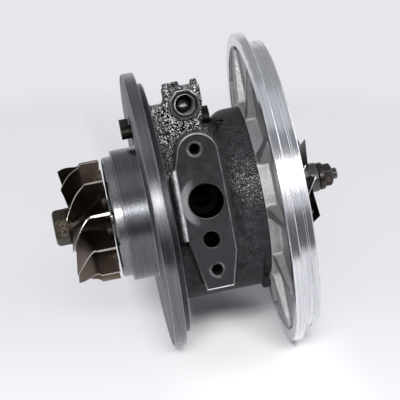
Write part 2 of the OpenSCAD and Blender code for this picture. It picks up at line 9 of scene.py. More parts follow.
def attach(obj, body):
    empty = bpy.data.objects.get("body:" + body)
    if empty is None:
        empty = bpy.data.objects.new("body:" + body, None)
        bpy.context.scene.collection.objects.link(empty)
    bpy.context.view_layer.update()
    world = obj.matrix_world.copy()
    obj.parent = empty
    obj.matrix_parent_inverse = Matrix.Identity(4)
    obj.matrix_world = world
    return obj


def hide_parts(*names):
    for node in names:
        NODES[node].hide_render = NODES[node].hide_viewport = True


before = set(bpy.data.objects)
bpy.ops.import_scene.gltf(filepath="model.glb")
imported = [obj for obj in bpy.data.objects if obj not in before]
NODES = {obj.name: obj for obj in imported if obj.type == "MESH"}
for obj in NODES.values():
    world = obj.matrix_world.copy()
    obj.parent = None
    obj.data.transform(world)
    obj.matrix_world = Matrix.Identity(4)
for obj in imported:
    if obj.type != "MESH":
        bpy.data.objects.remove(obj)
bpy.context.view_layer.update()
MM = 0.001

# Sizes from the CAD source, in millimetres and degrees
FLANGE_R, FLANGE_T = 56.2, 4.9
STEP_R, STEP_T = 51.2, 2.7
PILOT_R, PILOT_LEN = 26.7, 10.4
SPIGOT_R, SPIGOT_LEN = 23.4, 2.6
CHAMFER = 0.4
WEB_X = FLANGE_T + STEP_T
HOUSING_LEN = 44.2
NECK_R, WEB_FILLET = 31.0, 8.0
BELLY_R, BELLY_DROP = 30.0, 8.4
DRUM_R, DRUM_X, SHOULDER_R = 34.6, 38.5, 8.0
LUG_R, LUG_LEN, LUG_DROP = 4.2, 3.4, 2.0
BLOCK_X, BLOCK_W, BLOCK_Z, BLOCK_DEPTH = 14.5, 14.4, 47.6, 14.0
BLOCK_FRONT, BLOCK_BACK, SADDLE_Z = 20.0, 15.0, 41.0
INLET_X, INLET_Z, INLET_R, INLET_DEPTH = 21.7, 40.4, 4.2, 12.0
BOSS_STAND, BOSS_CORNER = 2.2, 6.3
PAD_Y, PAD_X, PAD_HALF_W, PAD_END_R, FLANK_R = 38.0, 20.9, 9.0, 8.0, 3.6
UPPER_Z, LOWER_Z, TAPPED_R, TAPPED_DEPTH, COUNTERSINK = 23.6, -24.0, 2.3, 14.0, 0.9
DRAIN_X, DRAIN_Z, DRAIN_R, DRAIN_DEPTH, DRAIN_WAY_R = 21.6, 3.2, 6.8, 19.0, 4.4
COOLANT_Z, COOLANT_R, COOLANT_DEPTH, REAR_Y = -11.9, 3.2, 16.0, 33.0
SCREW_CIRCLE, SCREW_ANGLE, SCREW_SEAT_X, SCREW_POCKET_R = 29.4, 55.0, 37.5, 4.8
CRANK_Z, CRANK_BUSH_END, CRANK_SEAT_R, CRANK_BORE_R = 33.0, 28.9, 5.1, 4.52
CRANK_RECESS, ARM_ROOM = 0.5, 6.1
FLANK_TOP, FLANK_BOTTOM = DRAIN_Z + 13.8, COOLANT_Z + 0.9
PAD_LEFT, INLET_BOTTOM = PAD_X - PAD_HALF_W, INLET_DEPTH - BLOCK_FRONT
WHEEL_BACK, INDUCER_X, EXDUCER_X = -15.3, -23.1, -32.5
INDUCER_R, EXDUCER_R, TURBINE_BLADES, TURBINE_WRAP = 24.9, 23.4, 11, 31.0
DISC_R, DISC_T, TURBINE_HUB_R = 20.5, 1.8, 7.4
SCALLOP_R, SCALLOP_OUT = 4.4, 0.6
NOSE_LEN, NOSE_R = 5.7, 7.4
DISC_BACK, EYE_X, WHEEL_END = 55.3, 68.3, 71.5
COMPRESSOR_R, EYE_R, EYE_HUB_R = 26.0, 18.3, 6.0
COMPRESSOR_BLADES, COMPRESSOR_WRAP = 6, 44.0
STUB_R, JOURNAL_R, SEAL_R, COLLAR_X, SHAFT_END = 2.5, 4.0, 8.0, 36.51, 79.5
NUT_FLANGE_R, NUT_FLANGE_LEN, NUT_R, NUT_LEN = 5.6, 2.6, 4.6, 5.8
RIM_R, RIM_X, SEAT_X, SEAT_R, BACKPLATE_END = 63.7, 47.3, 51.1, 59.3, 58.1
GROOVE_X, GROOVE_W, GROOVE_DEPTH = 54.9, 0.5, 0.4
HUB_R, WEB_BACK, RECESS_R, RIB_COUNT, FIRST_RIB = 35.0, 49.1, 58.7, 10, 11.0
RIB_ROOT, RIB_TIP, RIB_STEP = 5.0, 2.6, 0.3
PLATE_BORE, SLINGER_ROOM, SLINGER_END, WHEEL_ROOM_R, WHEEL_ROOM_X = 7.1, 12.0, 49.6, 26.6, 54.7
JOINT_SPIGOT_R, JOINT_SPIGOT_X = 20.78, 43.27
FLANGE_BORE_R, SEAL_BORE_R, SEAL_WALL_X, BUSH_WALL_X = 13.0, 8.1, -2.0, 6.5
BUSH_BORE_R, OIL_ROOM_R, OIL_ROOM_X, OIL_ROOM_END, BUSH_BORE_END = 6.54, 12.0, 19.1, 24.4, 36.0
COLLAR_ROOM_R, THRUST_ROOM_R, THRUST_ROOM_X = 9.0, 20.82, 38.55
SCREW_BORE_R, SCREW_POCKET_X, CRANK_SEAT_END = 2.7, 29.0, 32.7
DRAIN_WAY_END, INLET_SINK = -8.0, 0.8

# Sizes of the finish that only this script has, in millimetres
CAP_DEPTH, CAP_SUNK, CAP_INSET = 5.0, 1.2, 0.08
PAD_EDGE, BOSS_EDGE, BOSS_FOOT = 0.5, 0.4, 0.5
BOSS_Y = -BLOCK_FRONT - BOSS_STAND
CAST_VOXEL = 0.5
# Millimetres of a turned surface's pattern to a radian of turn
MARK_STRETCH = 1.2
# Depth of the drill's point to its radius
DRILL_POINT = 0.55
# Holes in the pad and the boss: place in X and Z, radius and depth of the countersink
PAD_BORES = [(PAD_X, UPPER_Z, TAPPED_R, COUNTERSINK), (PAD_X, LOWER_Z, TAPPED_R, COUNTERSINK),
             (DRAIN_X, DRAIN_Z, DRAIN_R, 0.3), (PAD_X, COOLANT_Z, COOLANT_R, 0.3)]
BOSS_BORES = [(INLET_X, INLET_Z, INLET_R, INLET_SINK)]
# Angles between faces, in degrees, above which an edge is sharp
CREASE, PLAIN_CREASE, CAST_CREASE, WHEEL_CREASE = 32.0, 30.0, 38.0, 40.0
FINE_CREASE, LATHE_CREASE, NUT_CREASE = 24.0, 20.0, 18.0


def mix(a, b, t):
    return a + (b - a) * t


def on_shaft(r, x, angle):
    """A point at radius r and station x, at an angle in degrees below the side that faces the pad."""
    turn = radians(angle)
    return Vector((x, -r * cos(turn), -r * sin(turn)))


# Node graphs

class Graph:
    """The node tree of a material or of the world."""

    def __init__(self, owner, output="OutputMaterial"):
        owner.use_nodes = True
        self.owner = owner
        self.tree = owner.node_tree
        self.tree.nodes.clear()
        self.out = self.add(output)

    def add(self, kind, inputs=None, **props):
        node = self.tree.nodes.new("ShaderNode" + kind)
        for key, value in props.items():
            setattr(node, key, value)
        for key, value in (inputs or {}).items():
            self.put(node.inputs[key], value)
        return node

    def put(self, socket, value):
        if isinstance(value, bpy.types.NodeSocket):
            self.tree.links.new(value, socket)
        else:
            socket.default_value = value

    def math(self, operation, a, b=0.0, clamp=False):
        return self.add("Math", {0: a, 1: b}, operation=operation, use_clamp=clamp).outputs[0]

    def blend(self, factor, a, b):
        """A mix of two colours, whose sockets are the node's inputs 6 and 7."""
        return self.add("Mix", {0: factor, 6: a, 7: b}, data_type="RGBA").outputs[2]

    def span(self, value, low, high, to_low=0.0, to_high=1.0):
        """The value carried over from one range to another, and held at its ends."""
        inputs = {"Value": value, "From Min": low, "From Max": high, "To Min": to_low, "To Max": to_high}
        return self.add("MapRange", inputs).outputs["Result"]

    def noise(self, vector, scale, detail=3.0, rough=0.55):
        inputs = {"Vector": vector, "Scale": scale, "Detail": detail, "Roughness": rough}
        return self.add("TexNoise", inputs).outputs["Fac"]

    def place(self):
        return self.add("TexCoord").outputs["Object"]

    def axes(self, vector):
        return self.add("SeparateXYZ", {"Vector": vector}).outputs

    def hypot(self, a, b):
        squares = self.math("ADD", self.math("POWER", a, 2.0), self.math("POWER", b, 2.0))
        return self.math("SQRT", squares)

    def turned(self):
        """Coordinates along the lathe marks of a piece turned about X: radius, station and a slow angle."""
        part = self.axes(self.place())
        angle = self.math("MULTIPLY", self.math("ARCTAN2", part["Y"], part["Z"]), MARK_STRETCH * MM)
        inputs = {"X": self.hypot(part["Y"], part["Z"]), "Y": part["X"], "Z": angle}
        return self.add("CombineXYZ", inputs).outputs["Vector"]

    def bump(self, height, distance, strength=1.0):
        inputs = {"Height": height, "Distance": distance, "Strength": strength}
        return self.add("Bump", inputs).outputs["Normal"]

    def shade(self, color, metallic, roughness, normal=None, specular=None):
        """Ends a material's tree in one Principled shader, and gives the material."""
        inputs = {"Base Color": color, "Metallic": metallic, "Roughness": roughness}
        if normal is not None:
            inputs["Normal"] = normal
        if specular is not None:
            inputs["Specular IOR Level"] = specular
        self.end(self.add("BsdfPrincipled", inputs))
        return self.owner

    def end(self, node):
        """Ends the tree in a shader node."""
        self.put(self.out.inputs["Surface"], node.outputs[0])


def surface(name):
    """The graph of a new material."""
    return Graph(bpy.data.materials.new(name))


def grey(value, tint=0.0):
    """A grey of that strength, tinted towards blue or, below zero, towards brown."""
    return (value * (1 - tint * 0.5), value * (1 - abs(tint) * 0.25), value * (1 + tint * 0.5), 1.0)


def rgb(r, g, b):
    return (r, g, b, 1.0)


def scaled(color, share):
    return tuple(min(1.0, c * share) for c in color[:3]) + (1.0,)


def turned_metal(name, color, roughness, mark=0.00002, wide=0.2):
    """Metal with the rings that a lathe leaves, in colour, gloss and relief."""
    g = surface(name)
    lathe = g.turned()
    fine = g.noise(lathe, 9000.0, 2.0)
    bands = g.noise(lathe, 1300.0, 3.0)
    stains = g.noise(g.place(), 60.0, 4.0)
    dark = scaled(color, 1 - wide)
    tone = g.blend(g.span(bands, 0.3, 0.7), dark, scaled(color, 1 + wide))
    tone = g.blend(g.span(stains, 0.45, 0.75, 0.0, 0.25), tone, dark)
    gloss = g.math("ADD", g.span(fine, 0.3, 0.7, roughness - 0.05, roughness + 0.06),
                   g.span(stains, 0.4, 0.8, 0.0, 0.08))
    relief = g.math("ADD", g.math("MULTIPLY", fine, 0.5), bands)
    return g.shade(tone, 1.0, gloss, g.bump(relief, mark))


def cast_metal(name, dark, light, pit, speck, roughness, depth, body, grain, share=None):
    """Sand-cast metal: grain in relief, with bright points on a skin that is metallic by body.

    share gives how open the skin is at a place, from 0 to 1. The tone goes towards pit there.
    """
    g = surface(name)
    where = g.place()
    coarse = g.noise(where, 320.0, 4.0)
    sand = g.noise(where, grain, 3.0, 0.65)
    points = g.noise(where, grain * 1.1, 1.5, 0.5)
    tone = g.blend(g.span(coarse, 0.3, 0.7), dark, light)
    rough_part = share(g, where) if share else g.span(g.noise(where, 75.0), 0.4, 0.6, 0.3, 0.8)
    tone = g.blend(rough_part, tone, pit)
    glint = g.span(g.noise(where, grain * 0.45, 2.0), 0.35, 0.65, 0.35, 1.0)
    shine = g.math("MULTIPLY", g.math("MULTIPLY", g.span(points, 0.54, 0.6), glint), rough_part)
    tone = g.blend(shine, tone, speck)
    metallic = g.span(shine, 0.0, 1.0, body, 1.0)
    gloss = g.span(sand, 0.3, 0.7, roughness - 0.1, roughness + 0.12)
    relief = g.math("ADD", sand, g.math("MULTIPLY", coarse, 0.8))
    deep = g.span(rough_part, 0.0, 1.0, 0.25, 1.0)
    return g.shade(tone, metallic, gloss, g.bump(relief, depth, deep), specular=0.02)


def iron_grain(g, where):
    """Where the casting's skin is open and sparkles: on the block, the web and the middle of the drum."""
    drum_share, least = 0.3, 0.05
    part = g.axes(where)
    clouds = g.span(g.noise(where, 130.0, 3.0), 0.35, 0.6, 0.3, 0.9)
    block = g.math("MULTIPLY", g.span(part["Z"], 8 * MM, 22 * MM), g.span(part["X"], 30.5 * MM, 29 * MM))
    level = g.math("ABSOLUTE", g.math("SUBTRACT", part["Z"], 7 * MM))
    front = g.span(part["X"], 31 * MM, 36 * MM, 0.0, drum_share)
    drum = g.math("MULTIPLY", g.span(level, 14 * MM, 3 * MM), front)
    most = g.math("MAXIMUM", g.math("MAXIMUM", block, drum), least)
    return g.math("MULTIPLY", most, clouds)


def plain_metal(name, color, roughness, grain=1500.0, depth=0.00003, stain=None, metallic=1.0):
    """Rolled or pressed metal: faint grain and wear in colour and gloss."""
    g = surface(name)
    where = g.place()
    fine = g.noise(where, grain, 3.0)
    wear = g.noise(where, 240.0, 4.0)
    tone = g.blend(g.span(wear, 0.35, 0.65), scaled(color, 0.7), color)
    if stain:
        tone = g.blend(g.span(g.noise(where, 900.0, 3.0), 0.5, 0.66), tone, stain)
    gloss = g.span(fine, 0.3, 0.7, roughness - 0.07, roughness + 0.09)
    return g.shade(tone, metallic, gloss, g.bump(fine, depth))


def blade_metal(name, root, tip, r0, r1, roughness):
    """Cast blade skin, with painted shade: dark in the depth of the wheel and lighter towards the blade's
    outer edge.
    """
    g = surface(name)
    where = g.place()
    part = g.axes(where)
    radius = g.hypot(part["Y"], part["Z"])
    cloud = g.noise(where, 160.0, 4.0)
    fine = g.noise(where, 2200.0, 3.0)
    # Painted shade: the tone runs from the dark root colour deep between the blades to the tip colour farther
    # out
    reach = g.math("ADD", g.span(radius, r0 * MM, r1 * MM), g.span(cloud, 0.3, 0.7, -0.18, 0.18), clamp=True)
    tone = g.blend(reach, root, tip)
    gloss = g.span(fine, 0.3, 0.7, roughness - 0.08, roughness + 0.1)
    return g.shade(tone, 1.0, gloss, g.bump(g.math("ADD", fine, cloud), 0.00006))


def milled_face():
    """The pad's milled face, with a painted highlight: a bright streaked crescent beside the drain, on its
    side towards the flank.
    """
    g = surface("milled_face")
    where = g.place()
    part = g.axes(where)
    fine = g.noise(where, 2600.0, 3.0)
    wear = g.noise(where, 260.0, 4.0)
    patches = g.span(wear, 0.35, 0.65, -0.25, 0.25)
    # Painted light: the face grows lighter towards the bottom; the patches on it are random wear
    low = g.math("ADD", g.span(part["Z"], 25 * MM, -20 * MM), patches, clamp=True)
    tone = g.blend(low, grey(0.019, 0.08), grey(0.04, 0.1))
    across = g.math("SUBTRACT", part["X"], DRAIN_X * MM)
    along = g.math("SUBTRACT", part["Z"], DRAIN_Z * MM)
    away = g.hypot(across, along)
    # Painted highlight: a streaked bright crescent round the drain, on the flank's side only
    ring = g.math("MULTIPLY", g.span(away, DRAIN_R * MM, 7.6 * MM), g.span(away, 10.8 * MM, 8.8 * MM))
    side = g.span(across, -3.5 * MM, -7.5 * MM)
    streaks = g.noise(g.add("CombineXYZ", {"X": away}).outputs["Vector"], 1900.0, 3.0)
    crescent_highlight = g.math("MULTIPLY", g.math("MULTIPLY", ring, side), g.span(streaks, 0.38, 0.6, 0.1, 1.0))
    tone = g.blend(crescent_highlight, tone, grey(0.34, 0.06))
    gloss = g.span(fine, 0.3, 0.7, 0.3, 0.46)
    return g.shade(tone, 1.0, gloss, g.bump(fine, 0.00002))


IRON = cast_metal("cast_iron", grey(0.012, 0.15), grey(0.03, 0.15), grey(0.001), grey(1.0, 0.02),
                  0.32, 0.0005, 0.03, 1850.0, iron_grain)
MACHINED = turned_metal("machined_iron", grey(0.135, 0.12), 0.25, 0.00001)
FLANGE_RIM = turned_metal("flange_rim", grey(0.16, 0.1), 0.24)
FLANGE_FACE = turned_metal("flange_face", grey(0.13, 0.1), 0.46)
STEP_IRON = turned_metal("step_iron", grey(0.045, 0.1), 0.34)
RUBBED_EDGE = plain_metal("rubbed_edge", grey(0.3, 0.08), 0.3)
PAD_FACE = milled_face()
# Near-black painted shade for the walls of holes
HOLE_SHADE = plain_metal("painted_hole_shade", rgb(0.004, 0.004, 0.0035), 0.55)
SUNK = plain_metal("countersink", grey(0.24, 0.04), 0.2, metallic=0.88)
BOSS_FACE = plain_metal("boss_face", grey(0.035, 0.04), 0.4, 1700.0, 0.00008)
FLANK = plain_metal("rubbed_flank", grey(0.5, 0.05), 0.3, 2200.0, 0.00003)
EDGE = plain_metal("broken_edge", grey(0.95, 0.02), 0.42)
RIM_METAL = turned_metal("turned_aluminium", grey(0.66, 0.06), 0.17, 0.00002, 0.14)
BACK_METAL = cast_metal("cast_aluminium", grey(0.36, 0.05), grey(0.52, 0.05), grey(0.4), grey(0.7),
                        0.45, 0.0001, 0.9, 2300.0)
# The first colour of each blade skin is painted shade in the depth of its wheel
TURBINE_SKIN = blade_metal("turbine_skin", rgb(0.08, 0.062, 0.054), rgb(0.14, 0.11, 0.09), 8.0, 23.0, 0.4)
TURBINE_EDGE = plain_metal("turbine_edge", rgb(0.6, 0.55, 0.49), 0.3)
TURBINE_ROOT = plain_metal("turbine_root", rgb(0.035, 0.028, 0.023), 0.42)
TURBINE_HUB = plain_metal("turbine_hub", rgb(0.06, 0.05, 0.044), 0.42, 900.0, 0.00018,
                          rgb(0.11, 0.085, 0.055))
WHEEL_SKIN = blade_metal("compressor_skin", rgb(0.014, 0.015, 0.013), rgb(0.075, 0.078, 0.07),
                         6.0, 22.0, 0.34)
WHEEL_EDGE = plain_metal("compressor_edge", grey(0.7), 0.24)
WHEEL_HUB = turned_metal("compressor_hub", grey(0.11, -0.05), 0.32)
SHIELD = turned_metal("pressed_steel", grey(0.24, 0.04), 0.25)
# Painted shade for the gap between the turbine wheel and its heat shield
GAP_SHADE = plain_metal("painted_gap_shade", rgb(0.012, 0.01, 0.009), 0.6)
GROUND = turned_metal("ground_steel", grey(0.42), 0.24)
# Near-black painted shade: the shaft and snap rings seen through the drain
SHADE_STEEL = plain_metal("painted_shade_steel", rgb(0.004, 0.0035, 0.003), 0.55)
THREAD = plain_metal("cut_thread", grey(0.34), 0.24)
INLET_THREAD = plain_metal("inlet_thread", grey(0.2), 0.22, metallic=0.55)
# Dark gloss painted as shade: the pad's threads, the inlet's drill point and the boss's countersink
SHADE_THREAD = plain_metal("painted_shade_thread", grey(0.05), 0.15, metallic=0.9)
NUT = plain_metal("nut_steel", rgb(0.055, 0.05, 0.05), 0.32, 1400.0, 0.00005, rgb(0.1, 0.068, 0.056))
BLACK = plain_metal("black_steel", grey(0.04), 0.45)
CRANK = plain_metal("crank_steel", rgb(0.03, 0.029, 0.024), 0.38, 1200.0, 0.00005, rgb(0.05, 0.047, 0.034))
ARM = plain_metal("arm_steel", grey(0.02, -0.1), 0.42)
BRONZE = turned_metal("bearing_bronze", rgb(0.5, 0.32, 0.13), 0.3)
RING = plain_metal("ring_iron", grey(0.18), 0.35)


def rubber():
    g = surface("seal_rubber")
    fine = g.noise(g.place(), 1800.0, 3.0)
    tone = g.blend(fine, grey(0.012), grey(0.03))
    return g.shade(tone, 0.0, g.span(fine, 0.2, 0.8, 0.5, 0.7), g.bump(fine, 0.00004))


NODE_FINISH = {
    "turbine_heat_shield": SHIELD, "oil_deflector": SHIELD,
    "turbine_seal_ring": RING, "compressor_seal_ring": RING, "crank_seal_ring": RING,
    "turbine_bush": BRONZE, "compressor_bush": BRONZE, "thrust_bearing": BRONZE, "bush_snap_rings": SHADE_STEEL,
    "thrust_collar": GROUND, "thrust_ring": GROUND, "oil_flinger": GROUND,
    "backplate_o_ring": rubber(), "backplate_screws": BLACK,
    "crank_bush": CRANK, "crank_shaft": CRANK, "crank_arm": ARM, "crank_outer_boss": ARM,
}


# Mesh helpers

def crease(mesh, angle=CREASE):
    """Smooth shading, with a sharp edge wherever two faces meet at more than the angle."""
    shape = bmesh.new()
    shape.from_mesh(mesh)
    limit = radians(angle)
    for face in shape.faces:
        face.smooth = True
    for edge in shape.edges:
        edge.smooth = len(edge.link_faces) == 2 and edge.calc_face_angle() < limit
    shape.to_mesh(mesh)
    shape.free()


def new_object(name, data):
    obj = bpy.data.objects.new(name, data)
    bpy.context.scene.collection.objects.link(obj)
    return obj


def piece(name, verts, faces, materials, face_materials=None, angle=CREASE):
    """A mesh object from points in millimetres."""
    mesh = bpy.data.meshes.new(name)
    mesh.from_pydata([Vector(v) * MM for v in verts], [], faces)
    for material in materials:
        mesh.materials.append(material)
    if face_materials:
        mesh.polygons.foreach_set("material_index", face_materials)
    mesh.validate()
    crease(mesh, angle)
    return new_object(name, mesh)


class Solid:
    """Closed shells gathered into one list of points and faces."""

    def __init__(self):
        self.verts, self.faces, self.marks = [], [], []

    def take(self, verts, faces, mark=0):
        """Adds a shell. The mark is its place in the list of materials, or a list with each face's own."""
        start = len(self.verts)
        self.verts += verts
        self.faces += [tuple(i + start for i in face) for face in faces]
        self.marks += mark if isinstance(mark, list) else [mark] * len(faces)

    def turn(self, profile, steps=160, mark=0, at=(0.0, 0.0), shape=None):
        """A ring or solid about a line along X, from (radius, station) points in order."""
        self.take(*turned_points(profile, steps, at, shape), mark)

    def drill(self, x, z, profile, steps=64, mark=0, shape=None):
        """A ring or solid about a line along Y, from (radius, y) points in order."""
        verts, faces = turned_points(profile, steps, shape=shape)
        self.take([Vector((x - v[1], v[0], z + v[2])) for v in verts], faces, mark)

    def post(self, x, y, z0, z1, r, steps):
        """A round post along Z."""
        verts, faces = turned_points(stepped([(r, z0, z1)]), steps)
        self.take([Vector((x + v[1], y + v[2], v[0])) for v in verts], faces)

    def box(self, low, high):
        outline = [(low[0], low[2]), (high[0], low[2]), (high[0], high[2]), (low[0], high[2])]
        self.prism(outline, low[1], high[1])

    def prism(self, outline, y0, y1):
        """An outline in X and Z, anticlockwise seen from the front, stood up between two places along Y."""
        self.take(*loft([[(x, y, z) for x, z in outline] for y in (y0, y1)]))

    def make(self, name, materials, angle=CREASE):
        obj = piece(name, self.verts, self.faces, materials, self.marks, angle)
        fix_normals(obj)
        return obj

    def cut(self, obj):
        """Takes the solid away from the object."""
        cutter = self.make("cutter", [])
        modify(obj, "BOOLEAN", operation="DIFFERENCE", solver="EXACT", object=cutter)
        bpy.data.objects.remove(cutter)


def loft(rings):
    """A closed shell through rings of points, all with the same number of points."""
    count = len(rings[0])
    verts = [Vector(point) for ring in rings for point in ring]
    last = len(verts) - count
    faces = [tuple(range(count)), tuple(range(last + count - 1, last - 1, -1))]
    for start in range(0, last, count):
        for i in range(start, start + count):
            n = start + (i + 1 - start) % count
            faces.append((i, i + count, n + count, n))
    return verts, faces


def stepped(rows):
    """The profile of a stepped bar, from rows of a radius and the stations where it starts and ends."""
    steps = [(r, x) for r, start, end in rows for x in (start, end)]
    return [(0.0, rows[0][1])] + steps + [(0.0, rows[-1][2])]


def turned_points(profile, steps, at=(0.0, 0.0), shape=None):
    """Rings of points about X. shape may change a ring's radius with the angle in degrees."""
    verts, rows = [], []
    aside = Vector((0.0, at[0], at[1]))
    for r, x in profile:
        if r == 0:
            rows.append([len(verts)] * steps)
            verts.append(on_shaft(0.0, x, 0.0) + aside)
        else:
            rows.append(list(range(len(verts), len(verts) + steps)))
            angles = [360.0 * k / steps for k in range(steps)]
            verts += [on_shaft(shape(r, x, a) if shape else r, x, a) + aside for a in angles]
    ring = profile[0][0] > 0
    faces = []
    for i in range(len(rows) if ring else len(rows) - 1):
        a, b = rows[i], rows[(i + 1) % len(rows)]
        for k in range(steps):
            n = (k + 1) % steps
            face = tuple(dict.fromkeys((a[k], a[n], b[n], b[k])))
            if len(face) > 2:
                faces.append(face)
    return verts, faces


def arc(cx, cy, r, a0, a1, steps):
    turns = [radians(mix(a0, a1, i / steps)) for i in range(steps + 1)]
    return [(cx + r * cos(t), cy + r * sin(t)) for t in turns]


def modify(obj, kind, **settings):
    """Adds one modifier to the object and applies it."""
    modifier = obj.modifiers.new(kind.lower(), kind)
    for key, value in settings.items():
        setattr(modifier, key, value)
    graph = bpy.context.evaluated_depsgraph_get()
    mesh = bpy.data.meshes.new_from_object(obj.evaluated_get(graph))
    obj.modifiers.clear()
    old = obj.data
    obj.data = mesh
    bpy.data.meshes.remove(old)


def cast_skin(obj, rounds):
    """Melts the object's overlapping shells into one skin with soft corners."""
    modify(obj, "REMESH", mode="VOXEL", voxel_size=CAST_VOXEL * MM)
    modify(obj, "SMOOTH", factor=0.5, iterations=rounds)


def paint(obj, rule):
    """Gives each face the material that the rule picks from its centre in millimetres and its normal."""
    materials = list(obj.data.materials)
    for polygon in obj.data.polygons:
        polygon.material_index = materials.index(rule(polygon.center / MM, polygon.normal))


def fix_normals(obj):
    shape = bmesh.new()
    shape.from_mesh(obj.data)
    bmesh.ops.recalc_face_normals(shape, faces=shape.faces)
    shape.to_mesh(obj.data)
    shape.free()


# Bearing housing: the rough casting

def pad_outline():
    right = PAD_X + PAD_HALF_W
    half, low = 5.4, LOWER_Z - 7.2
    top = arc(PAD_X + 0.8, UPPER_Z - 1.9, PAD_END_R, 0.0, 172.0, 24)
    return [(right, COOLANT_Z - 5.6), (right, DRAIN_Z + 9.4)] + top + [
        (PAD_LEFT, FLANK_TOP), (PAD_LEFT, FLANK_BOTTOM), (PAD_X - half, low), (PAD_X + half, low)]


def block_outlines():
    """The block's foot, with the hollow beside the flange, and its upper part round the inlet."""
    saddle_r = (BLOCK_X - WEB_X) / 2
    saddle_x = WEB_X + saddle_r
    brim = SADDLE_Z + saddle_r
    right = BLOCK_X + BLOCK_W
    flange_side = arc(saddle_x, brim, saddle_r, -90.0, -180.0, 8)
    block_side = arc(saddle_x, brim, saddle_r, 0.0, -90.0, 8)
    left, waist = 4.0, right - 2.0
    foot = [(left, 0.0), (waist, 0.0), (waist, NECK_R - 1.0), (right, INLET_Z), (right, SADDLE_Z)]
    foot += flange_side + [(left, brim)]
    upper = [(saddle_x, NECK_R), (waist, NECK_R), (right, INLET_Z), (right, BLOCK_Z), (BLOCK_X, BLOCK_Z)]
    return foot, upper + block_side


def boss_outline():
    return arc(INLET_X, INLET_Z, BOSS_CORNER, 22.5, 337.5, 7)


def offset(outline, distance):
    """An anticlockwise outline moved outwards, or inwards below zero, by a distance."""
    moved = []
    count = len(outline)
    for i in range(count):
        here = Vector(outline[i])
        back = (here - Vector(outline[i - 1])).normalized()
        ahead = (Vector(outline[(i + 1) % count]) - here).normalized()
        out = Vector((back.y + ahead.y, -back.x - ahead.x)).normalized()
        reach = distance / max(0.5, out.dot(Vector((ahead.y, -ahead.x))))
        moved.append(here + out * reach)
    return moved


def raw_casting():
    """Overlapping shells of the cast body, with spare metal where a face is machined later."""
    spare, inside = 1.6, -15.0
    rough = Solid()
    web_r = NECK_R + WEB_FILLET
    body = [(0.0, 3.0), (web_r + 4.0, 3.0), (web_r + 4.0, WEB_X + 0.3)]
    body += arc(web_r, WEB_X + WEB_FILLET, WEB_FILLET, 270.0, 180.0, 10)
    start = degrees(acos((NECK_R - DRUM_R + SHOULDER_R) / SHOULDER_R))
    body += arc(DRUM_R - SHOULDER_R, DRUM_X, SHOULDER_R, -start, 0.0, 10)
    body += [(DRUM_R, HOUSING_LEN + spare), (0.0, HOUSING_LEN + spare)]
    rough.turn(body)
    lug_x = HOUSING_LEN - LUG_LEN
    rough.turn(stepped([(BELLY_R, WEB_X - 1.0, lug_x)]), 128, at=(0.0, -BELLY_DROP))
    rough.turn(stepped([(LUG_R, lug_x, HOUSING_LEN + spare)]), 72, at=(0.0, -DRUM_R - LUG_DROP))
    rough.prism(offset(pad_outline(), -CAP_INSET), CAP_SUNK - PAD_Y, inside)
    flank_x = PAD_LEFT - FLANK_R + CAP_INSET
    rough.box((flank_x, FLANK_R - PAD_Y, FLANK_BOTTOM), (PAD_LEFT + 1.0, inside, FLANK_TOP))
    foot, upper = block_outlines()
    rough.prism(foot, -BLOCK_FRONT, BLOCK_BACK)
    rough.prism(upper, -BLOCK_FRONT, BLOCK_DEPTH - BLOCK_FRONT)
    boss = offset(boss_outline(), -CAP_INSET)
    rough.prism(boss, CAP_SUNK + BOSS_Y, -BLOCK_FRONT + 2.0)
    knobs = ((1.9, -10.0, 1.6), (5.6, -8.2, 1.7), (12.6, -15.0, 1.4))
    for dx, y, r in knobs:
        rough.post(BLOCK_X + dx, y, BLOCK_Z - 2.0, BLOCK_Z + 2.0, r, 24)
    rough.drill(PAD_X, -COOLANT_Z, stepped([(COOLANT_R + 5.0, 0.0, REAR_Y + spare)]))
    return rough.make("housing_casting", [IRON, PAD_FACE, HOLE_SHADE, SHADE_THREAD])


def machine_planes(casting):
    planes = Solid()
    planes.box((HOUSING_LEN, -50.0, -60.0), (60.0, 50.0, 60.0))
    planes.box((2.0, REAR_Y, -60.0), (HOUSING_LEN - 1.0, 60.0, 60.0))
    planes.cut(casting)


def main_bore(casting):
    """Seal, bush, chamber and thrust bores as one stepped bore."""
    rooms = [(FLANGE_BORE_R, -1.0, BUSH_WALL_X), (BUSH_BORE_R, BUSH_WALL_X, OIL_ROOM_X),
             (OIL_ROOM_R, OIL_ROOM_X, OIL_ROOM_END), (BUSH_BORE_R, OIL_ROOM_END, BUSH_BORE_END),
             (COLLAR_ROOM_R, BUSH_BORE_END, THRUST_ROOM_X), (THRUST_ROOM_R, THRUST_ROOM_X, 50.0)]
    bore = Solid()
    bore.turn(stepped(rooms), 96)
    bore.cut(casting)


